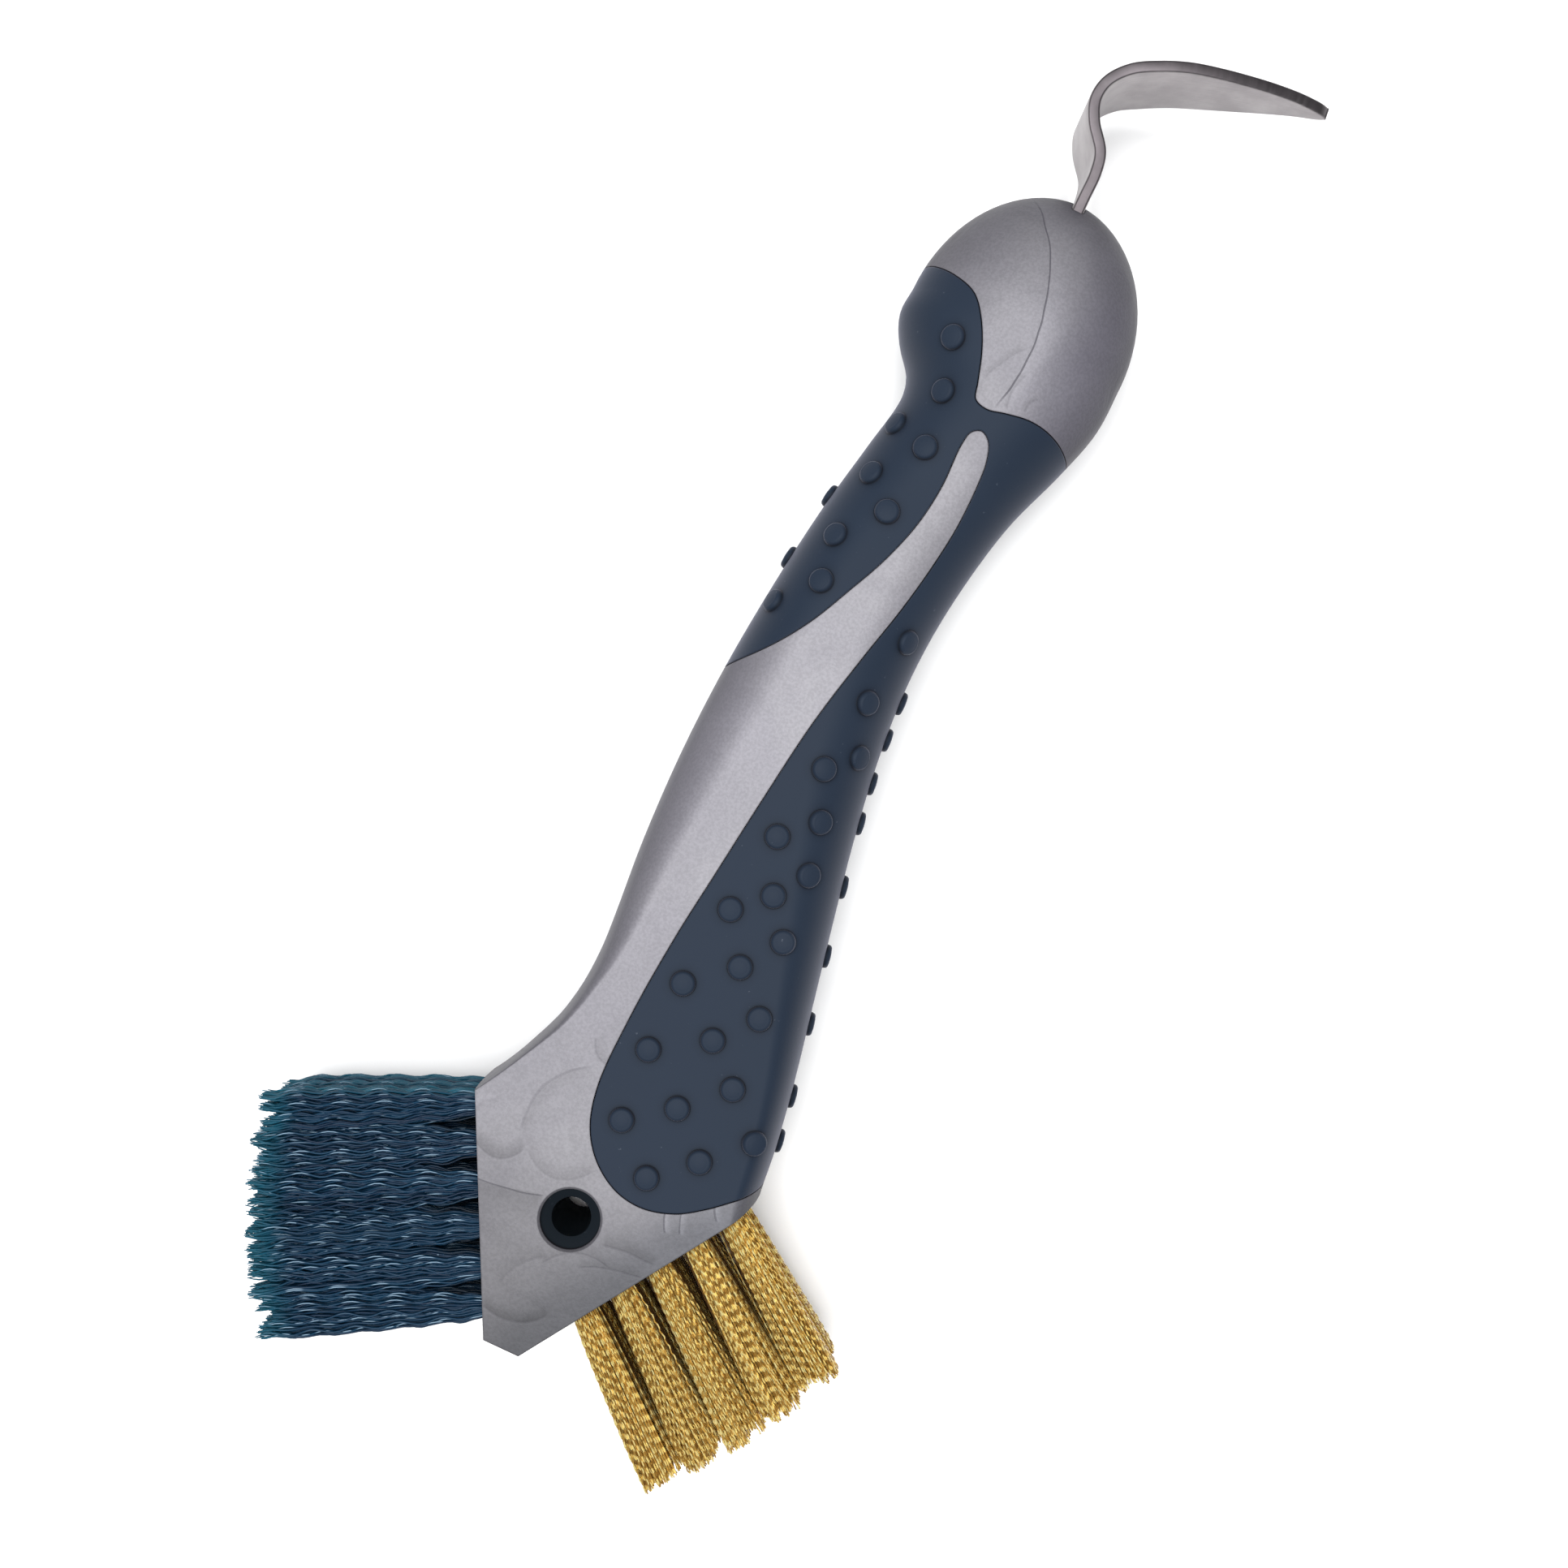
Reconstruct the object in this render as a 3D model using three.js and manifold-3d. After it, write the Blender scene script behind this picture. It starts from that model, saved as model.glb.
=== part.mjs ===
// Hoof pick: a moulded handle with a steel pick at one end, and a nylon and a brass brush at the other.
// It lies on its side. Units are millimetres, and +Z is up.
//
// The design frame has its origin at the hang hole's centre, half way through the handle's thickness.
// +Y runs along the handle towards the pick, and +X is the side that the pick points to.
// The whole is moved once, at the end, so that the exported origin is the bottom centre of its box.

import * as THREE from "three";
import { mergeVertices } from "three/addons/utils/BufferGeometryUtils.js";
import Module from "manifold-3d";

const wasm = await Module();
wasm.setup();

// ---------------------------------------------------------------- driving dimensions

const GAP = 0.3; // clearance between neighbouring solids
const REACH = 60; // how far an upright cutting tool runs past the handle
const PAST_FACE = 1; // how far a tool that cuts a hole runs past the face that it starts from

// The handle's section is a slab with elliptical sides. Each list holds [y, value] stations.
const LEFT_EDGE = [
  [-26, -30], [0, -30], [8, -23.4], [11.2, -20.85], [15.2, -18.55], [18.6, -16.95], [24.4, -14.6],
  [28.3, -13.65], [32, -13.15], [37, -13], [42, -13.3], [54, -14.25], [68, -14.6], [82, -14.1],
  [96, -12.8], [110, -10.9], [122, -8.6], [130, -7.1], [134, -7.9], [138, -10.9], [142, -12.7],
  [146, -12.45],
];
const RIGHT_EDGE = [
  [-26, 30], [4, 26.4], [12, 24.4], [20, 23.5], [30, 21.9], [42, 19.5], [54, 17.1], [66, 14.8], [78, 13],
  [90, 12.1], [100, 12.4], [110, 13.7], [120, 15.9], [130, 19.5], [138, 21.8], [146, 22.15],
];
const HALF_THICKNESS = [
  [-26, 11], [10, 11], [20, 11], [50, 11.4], [80, 11.6], [105, 11], [120, 10.7], [134, 12.6], [146, 14],
];
const LEFT_ROUND = [
  [-26, 0.5], [11, 0.5], [16, 0.7], [20.3, 1.1], [24.5, 1.6], [32, 2.5], [36.6, 3.5], [44, 4.8], [75, 9],
  [110, 9.5], [130, 12], [146, 16.8],
];
const RIGHT_ROUND = [[-26, 3.6], [20, 4.2], [45, 6.5], [75, 9.5], [110, 10.5], [130, 12.5], [146, 16.8]];

// The bulb ends in half an ellipsoid that starts at its widest section.
const BULB = {
  x: 4.85, y: 146, halfWidth: 17.3, height: 21.3, halfThickness: 14, round: 16.8, bluntness: 0.85,
};

// The brush head is cut flat on three sides.
const NYLON_CORNER_TOP = [-21.2, 12.8];
const NYLON_CORNER_LOW = [-4, -21.1];
const BRASS_CORNER_LOW = [1.6, -21.1];
const BRASS_CORNER_TOP = [22.9, 11.3];

const HANG_HOLE_RADIUS = 4.4;
const HANG_HOLE_CHAMFER = 0.35;
const HANG_HOLE_SIDES = 20;
const SLEEVE_WALL = 1.2;
const SLEEVE_SETBACK = 1; // the sleeve ends this far below the head's flat sides

const GRIP_THICKNESS = 2;
const DOT = { baseRadius: 1.8, topRadius: 1.35, height: 0.9, root: 1, sides: 8 };

// Edges of the rubber, seen from above. The same outline is used on both sides of the handle.
const GRIP_TOP_EDGE = [
  [-24, 151], [-12.3, 149.2], [-6.9, 147.6], [-3.6, 145.9], [-1.2, 142.8], [0.8, 138.8], [2.2, 134.6],
  [3, 132.2], [5, 131.5], [8.1, 132.1], [11.8, 132.7], [15.7, 132.4], [20, 130.9], [32, 124],
];
const GRIP_PAD_EDGE = [
  [34, 21], [24.2, 15.4], [20.8, 12.8], [17.3, 9.8], [13.3, 7.2], [8.6, 6], [4.2, 6.7], [0, 9.4],
  [-2.9, 13.4], [-4.4, 19.2], [-4.4, 30], [-3.4, 43], [-2, 54], [-0.3, 67], [1.6, 80], [4.1, 91.4],
  [6.3, 100.4], [7.8, 108.4], [8.6, 115], [8.7, 121.5], [8.4, 125], [7.4, 127.6], [5.8, 128.6],
  [4.4, 127.8], [3.9, 125.6], [3.9, 119], [3, 112.6], [0.9, 105.9], [-1.8, 99.9], [-5, 93.4],
  [-8.8, 87.9], [-14.4, 82.2], [-24, 74],
];
const PAD_DOTS = [
  [7.5, 10.2], [13.5, 15.5], [0.7, 16.3], [7.3, 21.2], [-0.1, 27.2], [13.4, 27.1], [19.6, 21.3], [7.8, 32.3],
  [0.4, 38], [12.6, 38], [6.9, 43.6], [2.1, 50.6], [11, 49.5], [6.9, 55], [10.3, 59.8], [3.8, 63],
  [8.6, 67.5], [5.8, 74.7], [9.8, 78.4], [7.5, 86.1], [9.1, 96.7],
];
const THUMB_DOTS = [
  [-3.7, 139.1], [-1.7, 131.8], [-6, 125.4], [-0.6, 123.2], [-6.2, 117], [-1.7, 112.4], [-7.1, 106.4],
  [-6.1, 99.3], [-11.3, 94.1],
];
const RIGHT_SIDE_DOTS = [21.2, 28.1, 39.1, 49.4, 59.9, 69.7, 75.9, 82.8, 88.7];
const LEFT_SIDE_DOTS = [112.6, 101.6];

// The pick is one bent steel strip. Its tang is moulded into the bulb.
const PICK = {
  thickness: 1.8, width: 15, tangWidth: 11, corner: 0.35, tipRadius: 1.7, tipHalfWidth: 0.6, tangHole: 3,
  pinLength: 8, pinSides: 14,
};
const TANG_END_Y = 130;
const TANG_FULL_WIDTH_Y = 150;
const TANG_HOLE_Y = 140;
const PICK_PATH = [
  [5, 130], [5, 140], [5, 150], [5, 160], [5, 167], [5, 171], [4.3, 174.1], [1.6, 177.8], [0.4, 180.9],
  [0.9, 184], [3.3, 187], [7.2, 189.3], [11.2, 191.1], [15.5, 192.5], [20, 193.8], [24.5, 195], [28.6, 195.9],
  [33, 196.5],
];
const TAPER_START_X = 5;
const TAPER_LENGTH = 28;
const TAPER_SHARE = 0.9;
const TAPER_POWER = 1.65;

// Each brush: tufts along its face, rows through the thickness, and a fan that widens towards the tips.
const HOLE_DEPTH = 7.5;
const TUFT_SIDES = 8;
const ROUND = 2; // the squareness of a circle or an ellipse
const TUFT_SHAPE = [ // [share of the length, share of the way to the tip's size, squareness]
  [0, 0, ROUND],
  [0.35, 0.5, 2.6],
  [1, 1, 3.4],
];
const ANCHOR = { thickness: 0.35, height: 1.8, bite: 0.35, low: 6.6 };
const NYLON = {
  name: "nylon", face: [NYLON_CORNER_LOW, NYLON_CORNER_TOP], columns: 6, rows: 3, start: 3.5, pitch: 6,
  rowPitch: 5.3, holeRadius: 2, tipHalf: [2.97, 2.7], lean: -0.4, columnFan: -0.36, rowFan: 0.6,
  length: (column) => 35.1 - 0.28 * (column - 1.9) ** 2,
};
const BRASS = {
  name: "brass", face: [BRASS_CORNER_TOP, BRASS_CORNER_LOW], columns: 5, rows: 2, start: 3, pitch: 6.4,
  rowPitch: 7, holeRadius: 2.5, tipHalf: [3.2, 3.4], lean: 4.7, columnFan: -1.15, rowFan: 1.2,
  length: (column) => 29.6 - 0.35 * (column - 2) ** 2,
};

const MATERIALS = {
  plastic: new THREE.MeshStandardMaterial({ color: "#8c8b93", roughness: 0.42, metalness: 0.25 }),
  rubber: new THREE.MeshStandardMaterial({ color: "#2b3546", roughness: 0.6, metalness: 0 }),
  steel: new THREE.MeshStandardMaterial({ color: "#9d9799", roughness: 0.38, metalness: 1 }),
  nylon: new THREE.MeshStandardMaterial({ color: "#12405c", roughness: 0.35, metalness: 0 }),
  brass: new THREE.MeshStandardMaterial({ color: "#c99a3a", roughness: 0.3, metalness: 1 }),
  anchor: new THREE.MeshStandardMaterial({ color: "#b08a3c", roughness: 0.45, metalness: 1 }),
};

// ---------------------------------------------------------------- geometry helpers

// A smooth curve through [y, value] stations.
function throughStations(stations) {
  const slope = stations.map((_, i) => {
    const [y0, v0] = stations[Math.max(0, i - 1)];
    const [y1, v1] = stations[Math.min(stations.length - 1, i + 1)];
    return (v1 - v0) / (y1 - y0);
  });
  return (y) => {
    let i = stations.findIndex(([station]) => station >= y);
    i = i < 0 ? stations.length - 1 : Math.max(1, i);
    const [y0, v0] = stations[i - 1];
    const [y1, v1] = stations[i];
    const span = y1 - y0;
    const t = THREE.MathUtils.clamp((y - y0) / span, 0, 1);
    const rise = t * t * (3 - 2 * t);
    return v0 + (v1 - v0) * rise + span * (slope[i - 1] * t * (1 - t) ** 2 - slope[i] * t * t * (1 - t));
  };
}

// A smooth curve through [x, y] points, sampled a few times between each two.
function throughPoints(points, perSpan) {
  const curve = new THREE.CatmullRomCurve3(
    points.map(([x, y]) => new THREE.Vector3(x, y, 0)),
    false,
    "centripetal",
  );
  return curve.getPoints((points.length - 1) * perSpan).map((p) => [p.x, p.y]);
}

// A closed body through rings of points. A ring of one point closes that end to a tip.
function loft(rings) {
  const vertices = [];
  const starts = rings.map((ring) => {
    const start = vertices.length / 3;
    ring.forEach((p) => vertices.push(p.x, p.y, p.z));
    return start;
  });
  const faces = [];
  for (let i = 0; i + 1 < rings.length; i++) {
    const [near, far] = [rings[i].length, rings[i + 1].length];
    const count = Math.max(near, far);
    for (let j = 0; j < count; j++) {
      const next = (j + 1) % count;
      const a = starts[i] + (near > 1 ? j : 0);
      const b = starts[i] + (near > 1 ? next : 0);
      const c = starts[i + 1] + (far > 1 ? next : 0);
      const d = starts[i + 1] + (far > 1 ? j : 0);
      if (near > 1) faces.push(a, b, far > 1 ? d : c);
      if (far > 1) faces.push(near > 1 ? b : a, c, d);
    }
  }
  const last = rings.length - 1;
  for (let j = 1; j + 1 < rings[0].length; j++) faces.push(starts[0], starts[0] + j + 1, starts[0] + j);
  const end = starts[last];
  for (let j = 1; j + 1 < rings[last].length; j++) faces.push(end, end + j, end + j + 1);
  const geometry = new THREE.BufferGeometry();
  geometry.setAttribute("position", new THREE.Float32BufferAttribute(vertices, 3));
  geometry.setIndex(faces);
  return geometry;
}

function toSolid(geometry, matrix = new THREE.Matrix4()) {
  const bare = geometry.clone().deleteAttribute("normal").deleteAttribute("uv").applyMatrix4(matrix);
  const merged = mergeVertices(bare, 1e-4);
  const mesh = new wasm.Mesh({
    numProp: 3,
    vertProperties: merged.attributes.position.array,
    triVerts: new Uint32Array(merged.index.array),
  });
  return new wasm.Manifold(mesh);
}

function toGeometry(solid) {
  const mesh = solid.getMesh();
  const geometry = new THREE.BufferGeometry();
  geometry.setAttribute("position", new THREE.Float32BufferAttribute(mesh.vertProperties, 3));
  geometry.setIndex(new THREE.BufferAttribute(mesh.triVerts, 1));
  geometry.computeVertexNormals();
  return geometry;
}

// An upright prism that runs right through the handle.
function prism(outline) {
  const shape = new THREE.Shape(outline.map(([x, y]) => new THREE.Vector2(x, y)));
  const geometry = new THREE.ExtrudeGeometry(shape, { depth: 2 * REACH, bevelEnabled: false });
  return toSolid(geometry.translate(0, 0, -REACH));
}

function box(width, depth, height, matrix) {
  return toSolid(new THREE.BoxGeometry(width, depth, height), matrix);
}

// A body turned about Z from [radius, height] points.
function turned(profile) {
  const points = profile.map(([radius, height]) => new THREE.Vector2(radius, height));
  return toSolid(new THREE.LatheGeometry(points, HANG_HOLE_SIDES).rotateX(Math.PI / 2));
}

// ---------------------------------------------------------------- the handle's outer shape

const leftEdge = throughStations(LEFT_EDGE);
const rightEdge = throughStations(RIGHT_EDGE);
const halfThickness = throughStations(HALF_THICKNESS);
const leftRound = throughStations(LEFT_ROUND);
const rightRound = throughStations(RIGHT_ROUND);

function handleSection(y, inset) {
  return {
    y,
    left: leftEdge(y) + inset,
    right: rightEdge(y) - inset,
    half: halfThickness(y) - inset,
    leftRound: leftRound(y) - inset,
    rightRound: rightRound(y) - inset,
  };
}

function domeSection(angle, inset) {
  const shrink = Math.cos(angle);
  const round = (BULB.round - inset) * shrink;
  return {
    y: BULB.y + (BULB.height - inset) * Math.sin(angle),
    left: BULB.x - (BULB.halfWidth - inset) * shrink,
    right: BULB.x + (BULB.halfWidth - inset) * shrink,
    half: (BULB.halfThickness - inset) * shrink ** BULB.bluntness,
    leftRound: round,
    rightRound: round,
  };
}

// The loft's sections: closest where the outline turns most.
const SIDE_STEPS = 4;
const HEAD_STATIONS = [-26, 2, 8, 11, 14, 17, 20.5];
const GRIP_START_Y = 25;
const GRIP_STEP = 7;
const NECK_Y = 126;
const NECK_STEP = 4;
const DOME_STEPS = 5;

function sectionRing({ y, left, right, half, leftRound, rightRound }) {
  const upper = [];
  for (let i = 0; i <= SIDE_STEPS; i++) {
    const angle = ((i / SIDE_STEPS) * Math.PI) / 2;
    upper.push([right - rightRound * (1 - Math.cos(angle)), half * Math.sin(angle)]);
  }
  for (let i = 0; i <= SIDE_STEPS; i++) {
    const angle = ((i / SIDE_STEPS) * Math.PI) / 2;
    upper.push([left + leftRound * (1 - Math.sin(angle)), half * Math.cos(angle)]);
  }
  const lower = upper.slice(1, -1).reverse().map(([x, z]) => [x, -z]);
  return [...upper, ...lower].map(([x, z]) => new THREE.Vector3(x, y, z)).reverse();
}

// The lofted shape, made smaller all round by inset.
function handleLoft(inset) {
  const stations = [...HEAD_STATIONS];
  for (let y = GRIP_START_Y; y < NECK_Y; y += GRIP_STEP) stations.push(y);
  for (let y = NECK_Y; y <= BULB.y; y += NECK_STEP) stations.push(y);
  const rings = stations.map((y) => sectionRing(handleSection(y, inset)));
  for (let i = 1; i < DOME_STEPS; i++) {
    rings.push(sectionRing(domeSection(((i / DOME_STEPS) * Math.PI) / 2, inset)));
  }
  rings.push([new THREE.Vector3(BULB.x, BULB.y + BULB.height - inset, 0)]);
  return toSolid(loft(rings));
}

// The flat cuts of the brush head: its two brush faces, carried on upwards, and the short end between them.
function headTrim() {
  const along = ([x0, y0], [x1, y1], y) => [x0 + ((x1 - x0) * (y - y0)) / (y1 - y0), y];
  const top = BULB.y + REACH;
  return prism([
    NYLON_CORNER_LOW,
    BRASS_CORNER_LOW,
    along(BRASS_CORNER_LOW, BRASS_CORNER_TOP, top),
    along(NYLON_CORNER_LOW, NYLON_CORNER_TOP, top),
  ]);
}

// Height of the top surface above the middle plane at a point of the handle.
function surfaceHeight(x, y) {
  const s = handleSection(y, 0);
  const past = Math.max(0, (x - s.right) / s.rightRound + 1, (s.left - x) / s.leftRound + 1);
  return s.half * Math.sqrt(Math.max(0, 1 - past * past));
}

// Outward direction of the surface there. Points on the sides have a height of 0.
function surfaceNormal(x, y, z) {
  const level = (px, py, pz) => {
    const s = handleSection(py, 0);
    const past = Math.max(0, (px - s.right) / s.rightRound + 1, (s.left - px) / s.leftRound + 1);
    return past * past + (pz / s.half) ** 2;
  };
  const step = 0.05;
  return new THREE.Vector3(
    level(x + step, y, z) - level(x - step, y, z),
    level(x, y + step, z) - level(x, y - step, z),
    level(x, y, z + step) - level(x, y, z - step),
  ).normalize();
}

// ---------------------------------------------------------------- the rubber grip

// The outline of the rubber. grow moves it outwards, for the recess in the handle.
function gripOutline(grow) {
  const loop = [...throughPoints(GRIP_TOP_EDGE, 2), ...throughPoints(GRIP_PAD_EDGE, 2)];
  return loop.map(([x, y], i) => {
    const [x0, y0] = loop[(i + loop.length - 1) % loop.length];
    const [x1, y1] = loop[(i + 1) % loop.length];
    const length = Math.hypot(x1 - x0, y1 - y0);
    return [x - ((y1 - y0) / length) * grow, y + ((x1 - x0) / length) * grow];
  });
}

function dotSolid(x, y, z) {
  const length = DOT.height + DOT.root;
  const geometry = new THREE.CylinderGeometry(DOT.topRadius, DOT.baseRadius, length, DOT.sides);
  geometry.translate(0, length / 2 - DOT.root, 0);
  const turn = new THREE.Quaternion().setFromUnitVectors(new THREE.Vector3(0, 1, 0), surfaceNormal(x, y, z));
  return toSolid(geometry, new THREE.Matrix4().makeRotationFromQuaternion(turn).setPosition(x, y, z));
}

function gripDots() {
  const faces = [...PAD_DOTS, ...THUMB_DOTS].flatMap(([x, y]) => {
    const height = surfaceHeight(x, y);
    return [dotSolid(x, y, height), dotSolid(x, y, -height)];
  });
  const right = RIGHT_SIDE_DOTS.map((y) => dotSolid(rightEdge(y), y, 0));
  const left = LEFT_SIDE_DOTS.map((y) => dotSolid(leftEdge(y), y, 0));
  return [...faces, ...right, ...left];
}

function gripOvermould(outer) {
  const sheet = outer.intersect(prism(gripOutline(0))).subtract(handleLoft(GRIP_THICKNESS));
  return gripDots().reduce((grip, dot) => grip.add(dot), sheet);
}

// ---------------------------------------------------------------- the steel pick

function pickWidth(x, y) {
  if (y < TANG_FULL_WIDTH_Y) {
    const share = (y - TANG_END_Y) / (TANG_FULL_WIDTH_Y - TANG_END_Y);
    return PICK.tangWidth + (PICK.width - PICK.tangWidth) * share;
  }
  const share = THREE.MathUtils.clamp((x - TAPER_START_X) / TAPER_LENGTH, 0, 1);
  return PICK.width * (1 - TAPER_SHARE * share ** TAPER_POWER);
}

// A ring across the strip: half its thickness along side, half its width along Z, with clipped corners.
function stripRing(x, y, side, halfThick, halfWidth, corner) {
  const points = [
    [halfThick, halfWidth - corner],
    [halfThick, corner - halfWidth],
    [halfThick - corner, -halfWidth],
    [corner - halfThick, -halfWidth],
    [-halfThick, corner - halfWidth],
    [-halfThick, halfWidth - corner],
    [corner - halfThick, halfWidth],
    [halfThick - corner, halfWidth],
  ];
  return points.map(([across, z]) => new THREE.Vector3(x + side.x * across, y + side.y * across, z));
}

function pickBlade() {
  const path = throughPoints(PICK_PATH, 2);
  const [tipX, tipY] = path[path.length - 1];
  const rings = path.map(([x, y], i) => {
    const [x0, y0] = path[Math.max(0, i - 1)];
    const [x1, y1] = path[Math.min(path.length - 1, i + 1)];
    const side = new THREE.Vector2(y1 - y0, x0 - x1).normalize();
    const fromTip = Math.hypot(tipX - x, tipY - y);
    const inTip = fromTip < PICK.tipRadius;
    const tipRound = inTip ? Math.sqrt(fromTip * (2 * PICK.tipRadius - fromTip)) : Infinity;
    const halfWidth = Math.max(PICK.tipHalfWidth, Math.min(pickWidth(x, y) / 2, tipRound));
    return stripRing(x, y, side, PICK.thickness / 2, halfWidth, PICK.corner);
  });
  return toSolid(loft(rings)).subtract(crossPin(PICK.tangHole));
}

// A round bar across the tang, along X: the tang's hole, or the plastic that fills it.
function crossPin(radius) {
  const bar = new THREE.CylinderGeometry(radius, radius, PICK.pinLength, PICK.pinSides).rotateZ(Math.PI / 2);
  return toSolid(bar.translate(PICK_PATH[0][0], TANG_HOLE_Y, 0));
}

// The room that the tang takes in the bulb, with plastic left standing in the tang's hole.
function tangSlot() {
  const x = PICK_PATH[0][0];
  const side = new THREE.Vector2(1, 0);
  const stations = [TANG_END_Y - GAP, TANG_FULL_WIDTH_Y, PICK_PATH[5][1]];
  const rings = stations.map((y) => {
    const halfWidth = pickWidth(x, Math.max(y, TANG_END_Y)) / 2 + GAP;
    return stripRing(x, y, side, PICK.thickness / 2 + GAP, halfWidth, PICK.corner);
  });
  return toSolid(loft(rings)).subtract(crossPin(PICK.tangHole - GAP));
}

// ---------------------------------------------------------------- the hang hole

function hangHole() {
  const half = halfThickness(0);
  const wide = HANG_HOLE_RADIUS + HANG_HOLE_CHAMFER + PAST_FACE;
  return turned([
    [0, -half - PAST_FACE],
    [wide, -half - PAST_FACE],
    [HANG_HOLE_RADIUS, -half + HANG_HOLE_CHAMFER],
    [HANG_HOLE_RADIUS, half - HANG_HOLE_CHAMFER],
    [wide, half + PAST_FACE],
    [0, half + PAST_FACE],
  ]);
}

function hangHoleSleeve() {
  const half = halfThickness(0) - SLEEVE_SETBACK;
  const outer = HANG_HOLE_RADIUS - GAP;
  const inner = outer - SLEEVE_WALL;
  return turned([
    [inner, -half],
    [outer, -half],
    [outer, half],
    [inner, half],
    [inner, -half],
  ]);
}

// ---------------------------------------------------------------- the brushes

// Each brush has a frame of its own: X along its face, Y straight out of it, Z through the thickness.
function brushFrame({ face: [[x0, y0], [x1, y1]] }) {
  const turn = new THREE.Matrix4().makeRotationZ(Math.atan2(y1 - y0, x1 - x0));
  return turn.setPosition(x0, y0, 0);
}

// Where each tuft stands, and how far it leans out of the face's normal, in degrees.
function tuftPlaces(brush) {
  const places = [];
  for (let row = 0; row < brush.rows; row++) {
    for (let column = 0; column < brush.columns; column++) {
      const fromMiddle = column - (brush.columns - 1) / 2;
      const rowFromMiddle = row - (brush.rows - 1) / 2;
      places.push({
        number: String(places.length + 1).padStart(2, "0"),
        x: brush.start + brush.pitch * column,
        z: brush.rowPitch * rowFromMiddle,
        leanX: brush.lean - brush.columnFan * fromMiddle,
        leanZ: brush.rowFan * rowFromMiddle,
        length: brush.length(column),
      });
    }
  }
  return places;
}

// A ring of the tuft: round in its hole, and squarer towards the tips, where the tufts meet.
function tuftRing({ x, z, leanX, leanZ }, out, [halfX, halfZ], squareness) {
  const ring = [];
  const past = Math.max(0, out);
  const centreX = x + past * Math.tan(THREE.MathUtils.degToRad(leanX));
  const centreZ = z + past * Math.tan(THREE.MathUtils.degToRad(leanZ));
  for (let i = 0; i < TUFT_SIDES; i++) {
    const angle = ((i + 0.5) / TUFT_SIDES) * 2 * Math.PI;
    const [c, s] = [Math.cos(angle), Math.sin(angle)];
    const radius = 1 / (Math.abs(c) ** squareness + Math.abs(s) ** squareness) ** (1 / squareness);
    ring.push(new THREE.Vector3(centreX + halfX * radius * c, out, centreZ - halfZ * radius * s));
  }
  return ring;
}

function tuft(brush, place) {
  const root = brush.holeRadius - GAP;
  const bottom = tuftRing(place, GAP - HOLE_DEPTH, [root, root], ROUND);
  const rings = TUFT_SHAPE.map(([share, spread, squareness]) => {
    const size = brush.tipHalf.map((half) => root + (half - root) * spread);
    return tuftRing(place, share * place.length, size, squareness);
  });
  return toSolid(loft([bottom, ...rings])).subtract(anchorBlock(brush, place, GAP));
}

// The flat wire that the tuft is folded over. Its ends bite into the wall of the hole.
function anchorBlock(brush, place, grow) {
  const length = 2 * (brush.holeRadius + ANCHOR.bite + grow);
  const middle = ANCHOR.height / 2 - ANCHOR.low;
  const at = new THREE.Matrix4().makeTranslation(place.x, middle, place.z);
  return box(ANCHOR.thickness + 2 * grow, ANCHOR.height + 2 * grow, length, at);
}

function tuftHole(brush, place) {
  const size = [brush.holeRadius, brush.holeRadius];
  const bottom = tuftRing(place, -HOLE_DEPTH, size, ROUND);
  const mouth = tuftRing({ ...place, leanX: 0, leanZ: 0 }, PAST_FACE, size, ROUND);
  return toSolid(loft([bottom, mouth])).add(anchorBlock(brush, place, GAP));
}

// ---------------------------------------------------------------- the moulded handle

function handleCore(outer) {
  const shell = outer.subtract(prism(gripOutline(GAP)));
  const underGrip = handleLoft(GRIP_THICKNESS + GAP).intersect(outer);
  const holes = [NYLON, BRASS].flatMap((brush) =>
    tuftPlaces(brush).map((place) => tuftHole(brush, place).transform(brushFrame(brush).elements)),
  );
  return [hangHole(), tangSlot(), ...holes].reduce((core, cut) => core.subtract(cut), shell.add(underGrip));
}

// ---------------------------------------------------------------- assembly

const design = new THREE.Group();

function addPiece(name, solid, material, group = design) {
  const piece = new THREE.Mesh(toGeometry(solid), material);
  piece.name = name;
  group.add(piece);
}

const outerShape = handleLoft(0).intersect(headTrim());
addPiece("handle_core", handleCore(outerShape), MATERIALS.plastic);
addPiece("grip_overmould", gripOvermould(outerShape), MATERIALS.rubber);
addPiece("hang_hole_sleeve", hangHoleSleeve(), MATERIALS.rubber);
addPiece("pick_blade", pickBlade(), MATERIALS.steel);

for (const brush of [NYLON, BRASS]) {
  const group = new THREE.Group();
  group.applyMatrix4(brushFrame(brush));
  for (const place of tuftPlaces(brush)) {
    addPiece(`${brush.name}_tuft_${place.number}`, tuft(brush, place), MATERIALS[brush.name], group);
    addPiece(`${brush.name}_anchor_${place.number}`, anchorBlock(brush, place, 0), MATERIALS.anchor, group);
  }
  design.add(group);
}

const bounds = new THREE.Box3().setFromObject(design);
const middle = bounds.getCenter(new THREE.Vector3());
design.position.set(-middle.x, -middle.y, -bounds.min.z);

const hoofPick = new THREE.Group();
hoofPick.add(design);

export default hoofPick;
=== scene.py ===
"""Hoof pick lying on its side, with a marbled plastic handle, a rubber grip, a steel pick and two brushes.

Shapes are worked out in millimetres in the design frame: its origin is the hang hole's centre, half way
through the handle, with +Y towards the pick and +X towards the side that the pick points to. They are
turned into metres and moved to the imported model's frame when each mesh is made.
"""

import math

import bmesh
import bpy
import numpy as np
from mathutils import Matrix, Vector


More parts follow.
